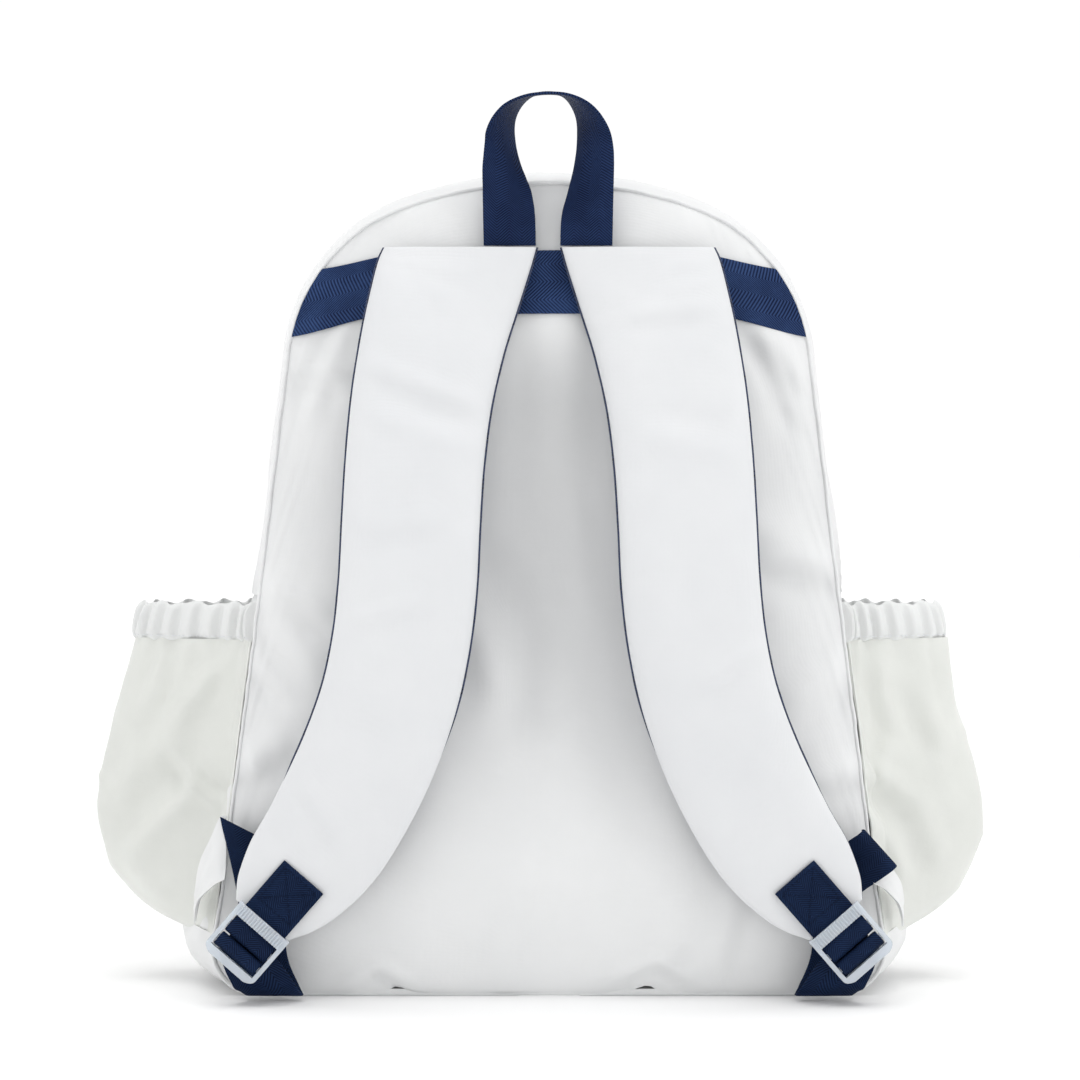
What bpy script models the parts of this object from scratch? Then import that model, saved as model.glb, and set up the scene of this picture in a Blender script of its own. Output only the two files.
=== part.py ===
"""A racket backpack standing on its base, shoulder straps towards -Y and racket sleeve towards +Y.

Metres, +Z up. The origin is the middle of the base's underside. Every cut piece of cloth, webbing,
foam, zip and buckle is an object of its own. Left and right pieces are made by one function with
side = -1 for -X and side = +1 for +X.
"""

from math import asin, ceil, cos, exp, pi, radians, sin, sqrt

import bmesh
import bpy
from mathutils import Matrix, Vector

MM = 0.001
GAP = 0.3 * MM

# Seam outline of the back and front panels, seen from behind: a flat base, two round corners, two
# leaning sides, two shoulder arcs and one top arc.
SEAM_TOP = 419 * MM
TOP_RADIUS = 225 * MM
SHOULDER_RADIUS = 90 * MM
CORNER_RADIUS = 26 * MM
BASE_HALF = 176 * MM
LEAN = radians(7.2)

# Depth of the body, from the back seam to the front seam.
BACK_SEAM_Y = -62 * MM
BACK_INNER_Y = -56 * MM
FRONT_SEAM_Y = 60 * MM
ZIP_REAR_Y = 47 * MM
ZIP_FRONT_Y = 55 * MM
BACK_CROWN = 25 * MM
SPINE_DEEP = 15 * MM
SPINE_WIDTH = 66 * MM
FRONT_CROWN = 11 * MM
WALL = 4 * MM
DOOR_FOLD_Z = 58 * MM
GUSSET_JOIN_Z = 206 * MM
YOKE_SEAM_Z = 384 * MM

# Webbing.
WEB_WIDTH = 26 * MM
WEB_THICK = 1.5 * MM
BAND_LOW_Z = 350 * MM
BAND_HIGH_Z = 383 * MM

# Side pockets.
POCKET_BACK_Y = -43 * MM
POCKET_FRONT_Y = 41 * MM
POCKET_LOW_Z = 29 * MM
POCKET_ELASTIC_Z = 182 * MM
POCKET_TOP_Z = 203 * MM
POCKET_WALL = 2 * MM
RIGHT_POCKET_SHARE = 0.84

# Racket sleeve, front pocket and keeper on the door.
SLEEVE_HALF = 128 * MM
SLEEVE_DEPTH = 27 * MM
SLEEVE_LOW_Z = 66 * MM
SLEEVE_TOP_Z = 326 * MM
SLEEVE_WALL = 3 * MM
BINDING_TALL = 12 * MM
FRONT_POCKET_HALF = 84 * MM
FRONT_POCKET_LOW_Z = 96 * MM
FRONT_ZIP_Z = 212 * MM
PATCH_LIFT = 0.8 * MM
PULL_RISE = 4.8 * MM
KEEPER_Z = 352 * MM
KEEPER_HALF = 66 * MM

# Ladder-lock buckle, in its own frame and in millimetres: u runs away from the strap, v across, n outwards.
BUCKLE_ORIGIN = Vector((142.7, -96.6, 43.2)) * MM
BUCKLE_TURN = radians(49)
BUCKLE_EDGE = 16.0
BUCKLE_RAIL = 13.6
RIBBED_BAR_END = 7.2
WRAPPED_BAR = (10.4, 14.0)
GRIP_BAR = (19.6, 22.4)
TONGUE_START = 25.4
TONGUE_END = 30.0
RIBS = 13

# Shoulder strap: centre line x and z, half width, inner face y and thickness, from seam to tip.
STRAP_STATIONS = [
    (45.0, 383.4, 38.6, -83.4, 5.0),
    (50.0, 368.0, 37.6, -85.2, 8.0),
    (54.5, 352.0, 36.8, -88.2, 10.0),
    (58.8, 334.0, 36.0, -92.6, 10.5),
    (63.8, 306.0, 35.0, -99.2, 10.5),
    (67.0, 275.0, 34.4, -105.0, 10.5),
    (68.8, 244.0, 34.2, -108.6, 10.5),
    (70.4, 212.0, 34.2, -110.2, 10.5),
    (74.0, 182.0, 34.0, -109.6, 10.5),
    (81.0, 152.0, 33.8, -106.6, 10.5),
    (93.4, 120.0, 33.6, -101.4, 10.5),
    (111.0, 87.0, 32.6, -93.0, 9.5),
    (126.8, 66.0, 29.6, -88.6, 7.0),
    (138.0, 52.0, 24.0, -87.4, 5.2),
    (145.0, 43.0, 17.0, -87.2, 4.6),
]
STRAP_HINGE = Vector((0, -83.0, 384.0)) * MM
HANDLE_HINGE = Vector((0, -80.0, 384.6)) * MM
DOOR_HINGE = Vector((0, 69.0, 58.0)) * MM


# ---------------------------------------------------------------- materials

def material(name, colour, roughness, metallic=0.0, alpha=1.0):
    """A Principled material, made once for each name."""
    made = bpy.data.materials.get(name)
    if made:
        return made
    made = bpy.data.materials.new(name)
    made.use_nodes = True
    shader = made.node_tree.nodes["Principled BSDF"]
    shader.inputs["Base Color"].default_value = (*colour, 1.0)
    shader.inputs["Roughness"].default_value = roughness
    shader.inputs["Metallic"].default_value = metallic
    shader.inputs["Alpha"].default_value = alpha
    return made


def white_cloth():
    return material("white_cloth", (0.86, 0.87, 0.88), 0.6)


def pocket_cloth():
    return material("pocket_cloth", (0.84, 0.85, 0.82), 0.5)


def navy_web():
    return material("navy_web", (0.012, 0.026, 0.085), 0.55)


def navy_mesh():
    return material("navy_mesh", (0.015, 0.024, 0.07), 0.8)


def foam():
    return material("foam", (0.75, 0.75, 0.73), 0.9)


def board():
    return material("board", (0.62, 0.63, 0.65), 0.5)


def zip_white():
    return material("zip_white", (0.82, 0.83, 0.85), 0.45)


def clear_plastic():
    return material("clear_plastic", (0.74, 0.8, 0.88), 0.2)


def nickel():
    return material("nickel", (0.72, 0.72, 0.73), 0.25, metallic=1.0)


# ---------------------------------------------------------------- making solids

def solid(name, rings, paint, looped=False, first_tip=None, last_tip=None):
    """A closed solid skinned over rings of points, with capped or pointed ends, or looped into itself."""
    bm = bmesh.new()
    loops = [[bm.verts.new(point) for point in ring] for ring in rings]
    pairs = list(zip(loops, loops[1:]))
    if looped:
        pairs.append((loops[-1], loops[0]))
    for low, high in pairs:
        for i in range(len(low)):
            j = (i + 1) % len(low)
            bm.faces.new((low[i], low[j], high[j], high[i]))
    if not looped:
        for ring, tip in ((loops[0], first_tip), (loops[-1], last_tip)):
            if tip is None:
                bm.faces.new(ring)
                continue
            point = bm.verts.new(tip)
            for i in range(len(ring)):
                bm.faces.new((ring[i], ring[(i + 1) % len(ring)], point))
    bmesh.ops.recalc_face_normals(bm, faces=bm.faces)
    return finish(name, bm, paint)


def finish(name, bm, paint):
    """Turns a bmesh into a named, smooth-shaded object."""
    mesh = bpy.data.meshes.new(name)
    bm.to_mesh(mesh)
    bm.free()
    made = bpy.data.objects.new(name, mesh)
    bpy.context.scene.collection.objects.link(made)
    mesh.materials.append(paint)
    mesh.shade_smooth()
    mesh.set_sharp_from_angle(angle=radians(40))
    return made


def hinge_at(name, place):
    """Moves an object's origin to a point on its joint's axis; its shape stays where it is."""
    moving = bpy.data.objects[name]
    moving.data.transform(Matrix.Translation(moving.location - Vector(place)))
    moving.location = place


def ribbon(name, centres, widths, normals, half_width, half_thick, paint):
    """Webbing: a flat strip through the centres, with its width and face directions at each."""
    rings = []
    for centre, across, face in zip(centres, widths, normals):
        w, n = across.normalized() * half_width, face.normalized() * half_thick
        rings.append([centre - w - n, centre + w - n, centre + w + n, centre - w + n])
    return solid(name, rings, paint)


def block(name, low, high, paint, bevel=0.0):
    """A box between two corners, with its edges bevelled."""
    bm = bmesh.new()
    bmesh.ops.create_cube(bm, size=1.0)
    size, middle = Vector(high) - Vector(low), (Vector(high) + Vector(low)) / 2
    for vert in bm.verts:
        vert.co = Vector(vert.co[i] * size[i] for i in range(3)) + middle
    if bevel:
        bmesh.ops.bevel(bm, geom=bm.edges[:], offset=bevel, segments=2, affect="EDGES", profile=0.5)
    return finish(name, bm, paint)


def disc(name, centre, radius, thick, axis, paint):
    """A short round stud along +Y or +Z, with a bevelled rim."""
    bm = bmesh.new()
    bmesh.ops.create_cone(
        bm, cap_ends=True, segments=20, radius1=radius, radius2=radius * 0.82, depth=thick
    )
    turn = Vector((0, 0, 1)).rotation_difference(axis).to_matrix().to_4x4()
    bmesh.ops.transform(bm, matrix=turn, verts=bm.verts)
    bmesh.ops.translate(bm, vec=centre, verts=bm.verts)
    return finish(name, bm, paint)


def smooth_path(points, count):
    """Catmull-Rom curve through the points, as count points evenly spaced in its own parameter."""
    points = [Vector(p) for p in points]
    padded = [2 * points[0] - points[1], *points, 2 * points[-1] - points[-2]]
    made = []
    for k in range(count):
        along = k / (count - 1) * (len(points) - 1)
        i = min(int(along), len(points) - 2)
        t = along - i
        a, b, c, d = padded[i : i + 4]
        made.append(
            0.5 * (2 * b + (c - a) * t + (2 * a - 5 * b + 4 * c - d) * t**2 + (3 * b - a - 3 * c + d) * t**3)
        )
    return made


def ramp(value, start, end):
    """0 at start, 1 at end, straight between and flat outside."""
    return min(1.0, max(0.0, (value - start) / (end - start)))


# ---------------------------------------------------------------- the seam outline

SIDE_NORMAL = Vector((cos(LEAN), sin(LEAN)))
SIDE_OFFSET = BASE_HALF * cos(LEAN)
TOP_CENTRE = Vector((0, SEAM_TOP - TOP_RADIUS))
SHOULDER_START = (
    asin((SIDE_OFFSET - SHOULDER_RADIUS - TOP_CENTRE.y * sin(LEAN)) / (TOP_RADIUS - SHOULDER_RADIUS)) - LEAN
)
SHOULDER_DIRECTION = Vector((sin(SHOULDER_START), cos(SHOULDER_START)))
SHOULDER_CENTRE = TOP_CENTRE + (TOP_RADIUS - SHOULDER_RADIUS) * SHOULDER_DIRECTION
CORNER_CENTRE = Vector(((SIDE_OFFSET - CORNER_RADIUS * (1 + sin(LEAN))) / cos(LEAN), CORNER_RADIUS))
CORNER_END = CORNER_CENTRE + CORNER_RADIUS * SIDE_NORMAL
SHOULDER_END = SHOULDER_CENTRE + SHOULDER_RADIUS * SIDE_NORMAL

BASE_LENGTH = CORNER_CENTRE.x
CORNER_LENGTH = CORNER_RADIUS * (pi / 2 + LEAN)
SIDE_LENGTH = (SHOULDER_END - CORNER_END).length
SHOULDER_LENGTH = SHOULDER_RADIUS * (pi / 2 - LEAN - SHOULDER_START)
TOP_LENGTH = TOP_RADIUS * SHOULDER_START
HALF_LENGTH = BASE_LENGTH + CORNER_LENGTH + SIDE_LENGTH + SHOULDER_LENGTH + TOP_LENGTH


def outline_at(s):
    """(point, outward normal) on the outline's right half, s along it from the base's middle to the top."""
    if s <= BASE_LENGTH:
        return Vector((s, 0.0)), Vector((0.0, -1.0))
    s -= BASE_LENGTH
    if s <= CORNER_LENGTH:
        angle = -pi / 2 + s / CORNER_RADIUS
        normal = Vector((cos(angle), sin(angle)))
        return CORNER_CENTRE + CORNER_RADIUS * normal, normal
    s -= CORNER_LENGTH
    if s <= SIDE_LENGTH:
        return CORNER_END.lerp(SHOULDER_END, s / SIDE_LENGTH), SIDE_NORMAL.copy()
    s -= SIDE_LENGTH
    if s <= SHOULDER_LENGTH:
        angle = LEAN + s / SHOULDER_RADIUS
        normal = Vector((cos(angle), sin(angle)))
        return SHOULDER_CENTRE + SHOULDER_RADIUS * normal, normal
    s = min(s - SHOULDER_LENGTH, TOP_LENGTH)
    angle = pi / 2 - SHOULDER_START + s / TOP_RADIUS
    normal = Vector((cos(angle), sin(angle)))
    return TOP_CENTRE + TOP_RADIUS * normal, normal


def length_at(z):
    """How far along the outline its straight side reaches this height."""
    share = (z - CORNER_END.y) / (SHOULDER_END.y - CORNER_END.y)
    return BASE_LENGTH + CORNER_LENGTH + share * SIDE_LENGTH


def spread(start, end, step):
    """Evenly spaced lengths from start to end, no further apart than step."""
    count = max(1, ceil((end - start) / step))
    return [start + (end - start) * k / count for k in range(count + 1)]


def half_width(z):
    """Half the outline's width at a height on its side, shoulder or top."""
    if z < CORNER_RADIUS:
        return CORNER_CENTRE.x + sqrt(max(0.0, CORNER_RADIUS**2 - (CORNER_RADIUS - z) ** 2))
    if z < SHOULDER_END.y:
        return (SIDE_OFFSET - z * sin(LEAN)) / cos(LEAN)
    join = SHOULDER_CENTRE.y + SHOULDER_RADIUS * cos(SHOULDER_START)
    if z < join:
        return SHOULDER_CENTRE.x + sqrt(SHOULDER_RADIUS**2 - (z - SHOULDER_CENTRE.y) ** 2)
    return sqrt(max(0.0, TOP_RADIUS**2 - (z - TOP_CENTRE.y) ** 2))


def crown(x, z):
    """0 on the seam and 1 over the middle of a stuffed panel."""
    across = min(1.0, abs(x) / max(half_width(z), 1e-6))
    middle = SEAM_TOP / 2
    return (1 - across**3) * max(0.0, 1 - abs((z - middle) / middle) ** 4)


def spine(x, z):
    """The hollow down the middle of the back panel, 0 to 1, faded out above the base and under the band."""
    return exp(-((x / SPINE_WIDTH) ** 4)) * ramp(z, 60 * MM, 190 * MM) * ramp(z, 346 * MM, 300 * MM)


def back_y(x, z):
    return BACK_SEAM_Y - BACK_CROWN * crown(x, z) + SPINE_DEEP * spine(x, z)


def front_y(x, z):
    return FRONT_SEAM_Y + FRONT_CROWN * crown(x, z)


def bulge(z, normal_z):
    """How far the gusset's middle swells past the seam outline; the base stays flat."""
    swell = 8 * MM + 5 * MM * ramp(z, SHOULDER_END.y, SEAM_TOP) + 8 * MM * ramp(z, 150 * MM, 0)
    return swell * (1 - max(0.0, -normal_z))


def gusset_offset(z, normal_z, y):
    middle = (BACK_SEAM_Y + FRONT_SEAM_Y) / 2
    across = (y - middle) / (FRONT_SEAM_Y - middle)
    return bulge(z, normal_z) * (1 - across**2)


def side_x(y, z):
    """Outer face of the side panel."""
    return half_width(z) + gusset_offset(z, 0.0, y) / cos(LEAN)


# ---------------------------------------------------------------- the body

def gusset_ring(s, mirrored, y_low, y_high, rows, thick, raised=0.0):
    """Cross-section of a strip along the outline: its outer face, then its inner face backwards."""
    point, normal = outline_at(s)
    sign = -1 if mirrored else 1
    outer, inner = [], []
    for k in range(rows + 1):
        y = y_low + (y_high - y_low) * k / rows
        reach = gusset_offset(point.y, normal.y, y) + raised
        for line, offset in ((outer, reach), (inner, reach - thick)):
            place = point + normal * offset
            line.append(Vector((sign * place.x, y, place.y)))
    return outer + inner[::-1]


def gusset_strip(name, start, end, step, paint, y_low, y_high, rows, thick, over_top=False, raised=0.0):
    """A strip of the gusset between two lengths along the outline; over_top carries it to the other side."""
    stops = spread(start, end, step)
    rings = [gusset_ring(s, False, y_low, y_high, rows, thick, raised) for s in stops]
    if over_top:
        rings += [gusset_ring(s, True, y_low, y_high, rows, thick, raised) for s in stops[-2::-1]]
    return solid(name, rings, paint)


def padded_panel(name, stops, paint, inner_y, surface, edge_y):
    """A panel with a flat inner face and a crowned outer one, in rows up the outline."""
    shares = (-1, -0.93, -0.8, -0.6, -0.45, -0.3, 0, 0.3, 0.45, 0.6, 0.8, 0.93, 1)
    rings, tip = [], None
    for s in stops:
        point, _ = outline_at(s)
        if point.x < MM:
            tip = Vector((0, (inner_y + edge_y) / 2, point.y))
            continue
        ring = [Vector((share * point.x, surface(share * point.x, point.y), point.y)) for share in shares]
        ring += [Vector((point.x, inner_y, point.y)), Vector((-point.x, inner_y, point.y))]
        rings.append(ring)
    return solid(name, rings, paint, last_tip=tip)


def make_body():
    fold_s = length_at(DOOR_FOLD_Z)
    yoke_s = next(s for s in spread(0, HALF_LENGTH, 0.2 * MM) if outline_at(s)[0].y >= YOKE_SEAM_Z)
    low_stops = spread(BASE_LENGTH, BASE_LENGTH + CORNER_LENGTH, 9 * MM)
    side_start = BASE_LENGTH + CORNER_LENGTH
    padded_panel(
        "back_panel", low_stops + spread(side_start, yoke_s, 26 * MM)[1:],
        white_cloth(), BACK_INNER_Y, back_y, BACK_SEAM_Y,
    )
    padded_panel(
        "back_yoke", spread(yoke_s + GAP, HALF_LENGTH, 12 * MM),
        white_cloth(), BACK_INNER_Y, back_y, BACK_SEAM_Y,
    )
    padded_panel(
        "front_lower_panel", low_stops + spread(side_start, fold_s - MM / 2, 20 * MM)[1:],
        white_cloth(), ZIP_REAR_Y + GAP, front_y, FRONT_SEAM_Y,
    )
    padded_panel(
        "front_panel", spread(fold_s + MM / 2, HALF_LENGTH - 70 * MM, 26 * MM)
        + spread(HALF_LENGTH - 70 * MM, HALF_LENGTH, 14 * MM)[1:],
        white_cloth(), ZIP_FRONT_Y + GAP, front_y, FRONT_SEAM_Y,
    )
    low_y, high_y = BACK_INNER_Y + GAP, ZIP_REAR_Y - GAP
    join_s = length_at(GUSSET_JOIN_Z)
    corner_s = length_at(CORNER_END.y + 2 * MM)
    corner_stops = spread(BASE_LENGTH, corner_s - GAP, 10 * MM)
    rings = [gusset_ring(s, True, low_y, high_y, 5, WALL) for s in corner_stops[::-1] + [0]]
    rings += [gusset_ring(s, False, low_y, high_y, 5, WALL) for s in corner_stops]
    solid("base_panel", rings, white_cloth())
    for side, word in ((-1, "left"), (1, "right")):
        rings = [
            gusset_ring(s, side < 0, low_y, high_y, 5, WALL)
            for s in spread(corner_s, join_s - GAP, 30 * MM)
        ]
        solid(f"side_panel_{word}", rings, white_cloth())
    gusset_strip(
        "top_gusset", join_s, HALF_LENGTH, 20 * MM, white_cloth(), low_y, high_y, 5, WALL, over_top=True
    )
    for name, y_low, y_high, first in (
        ("main_zip_rear", ZIP_REAR_Y, 50.8 * MM, fold_s + MM),
        ("main_zip_front", 51.2 * MM, ZIP_FRONT_Y, fold_s + MM),
    ):
        gusset_strip(
            name, first, HALF_LENGTH, 20 * MM, zip_white(), y_low, y_high, 1, 2.2 * MM,
            over_top=True, raised=0.4 * MM,
        )
    board_half = BASE_LENGTH - 4 * MM
    block(
        "base_board", (-board_half, -50 * MM, WALL + GAP), (board_half, 43 * MM, WALL + 2.8 * MM),
        board(), bevel=0.8 * MM,
    )


def make_band():
    """The wide navy webbing sewn across the back under the yoke seam."""
    heights = (BAND_LOW_Z, (BAND_LOW_Z + BAND_HIGH_Z) / 2, BAND_HIGH_Z)
    rings = []
    for k in range(-12, 13):
        near, far = [], []
        for z in heights:
            x = k / 12 * (half_width(z) - 0.4 * MM)
            near.append(Vector((x, back_y(x, z) - GAP, z)))
            far.append(Vector((x, back_y(x, z) - GAP - WEB_THICK, z)))
        rings.append(near + far[::-1])
    solid("yoke_band", rings, navy_web())


# ---------------------------------------------------------------- pouches

def pouch(name, outer_ring, inner_ring, low, floor, high, paint):
    """An open-topped pouch: up its outer face from low, over the rim at high, and down inside to floor."""
    rings = [outer_ring(z) for z in spread(low, high, 24 * MM)]
    rings += [inner_ring(z) for z in spread(floor, high, 24 * MM)[::-1]]
    return solid(name, rings, paint)


def pocket_reach(side, z):
    """How far the slack side pocket stands out from the side panel at a height; the left one is fuller."""
    low = ramp(z, POCKET_LOW_Z - 6 * MM, 100 * MM)
    reach = 23 * MM + 44 * MM * sin(low * pi / 2) - 8.5 * MM * ramp(z, 120 * MM, POCKET_TOP_Z)
    return reach * (1.0 if side < 0 else RIGHT_POCKET_SHARE)


def pocket_ring(side, z, inset, floor_side=GAP):
    """One level of a side pocket: the bulged outside, then the flat side against the bag."""
    steps = 12
    y_low, y_high = POCKET_BACK_Y + inset, POCKET_FRONT_Y - inset
    ring = []
    for k in range(steps + 1):
        t = k / steps
        y = y_low + (y_high - y_low) * (0.5 - 0.5 * cos(pi * t))
        reach = (pocket_reach(side, z) - inset) * sin(pi * t) ** 0.75
        ring.append(Vector((side * (side_x(y, z) + floor_side + inset * 0.7 + reach), y, z)))
    for k in range(1, 6):
        y = y_high + (y_low - y_high) * k / 6
        ring.append(Vector((side * (side_x(y, z) + floor_side + inset * 0.5), y, z)))
    return ring


def make_side_pocket(side, word):
    pouch(
        f"side_pocket_{word}",
        lambda z: pocket_ring(side, z, 0.3 * MM), lambda z: pocket_ring(side, z, POCKET_WALL),
        POCKET_LOW_Z, POCKET_LOW_Z + POCKET_WALL, POCKET_ELASTIC_Z - GAP, pocket_cloth(),
    )
    levels = (POCKET_ELASTIC_Z, POCKET_TOP_Z)
    rings = [pocket_ring(side, z, 0.3 * MM) for z in levels]
    rings += [pocket_ring(side, z, POCKET_WALL * 1.4) for z in levels[::-1]]
    solid(f"pocket_elastic_{word}", rings, pocket_cloth(), looped=True)


def sleeve_y(x, z):
    """Outer face of the racket sleeve."""
    lift = SLEEVE_DEPTH * (0.45 + 0.55 * sin(ramp(z, SLEEVE_LOW_Z - 4 * MM, 120 * MM) * pi / 2))
    across = min(1.0, abs(x) / SLEEVE_HALF)
    return front_y(x, z) + 1.4 * MM + lift * (1 - across**6)


def sleeve_ring(z, inset):
    steps = 16
    ring = []
    half = SLEEVE_HALF - inset
    for k in range(steps + 1):
        x = half * -cos(pi * k / steps)
        floor = front_y(x, z) + 1.4 * MM + inset * 0.4
        ring.append(Vector((x, max(floor, sleeve_y(x, z) - inset), z)))
    for k in range(1, 8):
        x = half * (1 - 2 * k / 8)
        ring.append(Vector((x, front_y(x, z) + GAP + inset * 0.4, z)))
    return ring


def make_racket_sleeve():
    pouch(
        "racket_sleeve", lambda z: sleeve_ring(z, 0.0), lambda z: sleeve_ring(z, SLEEVE_WALL),
        SLEEVE_LOW_Z, SLEEVE_LOW_Z + SLEEVE_WALL, SLEEVE_TOP_Z - BINDING_TALL - GAP, white_cloth(),
    )
    levels = (SLEEVE_TOP_Z - BINDING_TALL, SLEEVE_TOP_Z)
    rings = [sleeve_ring(z, 0.0) for z in levels] + [sleeve_ring(z, SLEEVE_WALL) for z in levels[::-1]]
    solid("sleeve_binding", rings, navy_web(), looped=True)


def make_inner_sleeve():
    """A flat open pocket on the inner face of the back panel."""
    half, deep, low, high = 118 * MM, 13 * MM, 22 * MM, 232 * MM
    wall, binding = 2 * MM, 9 * MM

    def ring(z, inset):
        points = []
        for k in range(13):
            x = (half - inset) * -cos(pi * k / 12)
            reach = (deep - inset) * (1 - min(1.0, abs(x) / half) ** 6)
            points.append(Vector((x, BACK_INNER_Y + GAP + max(reach, inset * 0.6 + 0.6 * MM), z)))
        points += [
            Vector(((half - inset) * sign, BACK_INNER_Y + GAP + inset * 0.4, z)) for sign in (1, -1)
        ]
        return points

    pouch(
        "inner_sleeve", lambda z: ring(z, 0.0), lambda z: ring(z, wall),
        low, low + wall, high - binding - GAP, white_cloth(),
    )
    levels = (high - binding, high)
    rings = [ring(z, 0.0) for z in levels] + [ring(z, wall) for z in levels[::-1]]
    solid("inner_sleeve_binding", rings, navy_web(), looped=True)


# ---------------------------------------------------------------- front pocket, keeper and zips

def make_front_pocket():
    """A flat patch pocket on the sleeve, closed along its top by a zip."""
    thick = 3.5 * MM
    rows = spread(FRONT_POCKET_LOW_Z, FRONT_ZIP_Z - 7 * MM, 18 * MM)
    corner = 16 * MM
    rings = []
    for z in rows:
        cut = max(0.0, corner - (z - FRONT_POCKET_LOW_Z))
        half = FRONT_POCKET_HALF - corner + sqrt(max(0.0, corner**2 - cut**2))
        xs = [half * share for share in (-1, -0.94, -0.6, -0.3, 0, 0.3, 0.6, 0.94, 1)]
        swell = [0.3, 1, 1, 1, 1, 1, 1, 1, 0.3]
        outer = [Vector((x, sleeve_y(x, z) + PATCH_LIFT + thick * k, z)) for x, k in zip(xs, swell)]
        rings.append(outer + [Vector((x, sleeve_y(x, z) + PATCH_LIFT, z)) for x in xs[::-1]])
    solid("front_pocket", rings, white_cloth())
    half = FRONT_POCKET_HALF
    rings = []
    for k in range(15):
        x = half * (-1 + 2 * k / 14)
        lines = []
        for lift in (PATCH_LIFT, PATCH_LIFT + 1.8 * MM):
            z_ends = (FRONT_ZIP_Z - 6.4 * MM, FRONT_ZIP_Z, FRONT_ZIP_Z + 6.4 * MM)
            line = [Vector((x, sleeve_y(x, z) + lift, z)) for z in z_ends]
            lines += line if lift == PATCH_LIFT else line[::-1]
        rings.append(lines)
    solid("front_zip_tape", rings, zip_white())
    make_front_slider()


def make_front_slider():
    """The front zip's slider at its closed end, with the pull tab hanging from it."""
    x, y = -70 * MM, sleeve_y(0, FRONT_ZIP_Z) + PATCH_LIFT + 1.8 * MM + GAP
    block(
        "front_zip_slider", (x - 6 * MM, y, FRONT_ZIP_Z - 4.2 * MM),
        (x + 6 * MM, y + 2.6 * MM, FRONT_ZIP_Z + 4.2 * MM), nickel(), bevel=0.7 * MM,
    )
    pivot = Vector((x, y + PULL_RISE, FRONT_ZIP_Z + 1 * MM))
    pull_tab("front_zip_pull", pivot, Vector((0, 0, -1)), Vector((1, 0, 0)))


def pull_tab(name, pivot, along, across):
    """A zip pull: a flat bar with an eye at its pivot and a wider, rounded end."""
    face = along.cross(across)
    shape = ((-1.8, 1.6), (-1.0, 2.6), (4, 2.8), (9, 2.2), (14, 3.6), (28, 4.0), (31, 3.4), (32.5, 1.6))
    rings = []
    for at, half in shape:
        centre = pivot + along * at * MM
        w, n = across * half * MM, face * 0.8 * MM
        rings.append([centre - w - n, centre + w - n, centre + w + n, centre - w + n])
    solid(name, rings, nickel())
    hinge_at(name, pivot)


def make_keeper():
    """The webbing that closes over a racket's throat, sewn at one end and snapped at the other."""
    surface = front_y(0, KEEPER_Z) + 2.4 * MM
    low, high = KEEPER_Z - WEB_WIDTH / 2, KEEPER_Z + WEB_WIDTH / 2
    seat = front_y(54 * MM, KEEPER_Z)
    patch_out = -KEEPER_HALF - 22 * MM
    rings = []
    for x in (patch_out, -KEEPER_HALF - 11 * MM, -KEEPER_HALF - 0.6 * MM):
        near, far = front_y(x, low) + GAP, front_y(x, KEEPER_Z) + GAP + WEB_THICK * 1.6
        rings.append([
            Vector((x, near, low)), Vector((x, far, low)), Vector((x, far, high)),
            Vector((x, front_y(x, low) + GAP, high)),
        ])
    solid("keeper_anchor", rings, navy_web())
    centres = [Vector((x * MM, surface + WEB_THICK / 2, KEEPER_Z)) for x in (-66, -40, -10, 20, 50, 74)]
    across, face = Vector((0, 0, 1)), Vector((0, 1, 0))
    ribbon("racket_keeper", centres, [across] * 6, [face] * 6, WEB_WIDTH / 2, WEB_THICK / 2, navy_web())
    x = 60 * MM
    stud_deep = surface - GAP - seat - GAP
    outward = Vector((0, 1, 0))
    disc("snap_stud", Vector((x, seat + GAP + stud_deep / 2, KEEPER_Z)), 5 * MM, stud_deep, outward, nickel())
    hinge_at("racket_keeper", Vector((-KEEPER_HALF, surface + WEB_THICK, KEEPER_Z)))
    cap_y = surface + WEB_THICK + GAP
    disc("snap_cap", Vector((x, cap_y + 1.1 * MM, KEEPER_Z)), 6.2 * MM, 2.2 * MM, outward, nickel())


def make_main_slider(side, word):
    """A slider and its pull on the main zip's top arc, a little to one side of the middle."""
    angle = side * 8.5 * MM / TOP_RADIUS
    up = Vector((sin(angle), 0, cos(angle)))
    along = Vector((side * cos(angle), 0, -side * sin(angle)))
    across = Vector((0, 1, 0))
    middle_y = 51 * MM
    offset = gusset_offset(SEAM_TOP, 1.0, ZIP_REAR_Y) + 0.4 * MM + 2 * GAP
    centre = Vector((TOP_CENTRE.x, middle_y, TOP_CENTRE.y)) + up * (TOP_RADIUS + offset)
    rings = []
    for at, half in ((-6.5, 2.6), (-5, 3.8), (0, 3.6), (4, 4.2), (6.5, 3.2)):
        low = centre + along * at * MM
        w = across * half * MM
        rise = up * (2.4 - 0.5 * abs(at) / 6.5) * MM
        rings.append([low - w, low + w, low + w * 0.85 + rise, low - w * 0.85 + rise])
    solid(f"main_zip_slider_{word}", rings, nickel())
    hinge_at(f"main_zip_slider_{word}", Vector((TOP_CENTRE.x, middle_y, TOP_CENTRE.y)))
    pull_tab(f"main_zip_pull_{word}", centre + up * PULL_RISE + along * 1.0 * MM, along, across)


# ---------------------------------------------------------------- straps, buckles and webbing

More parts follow.
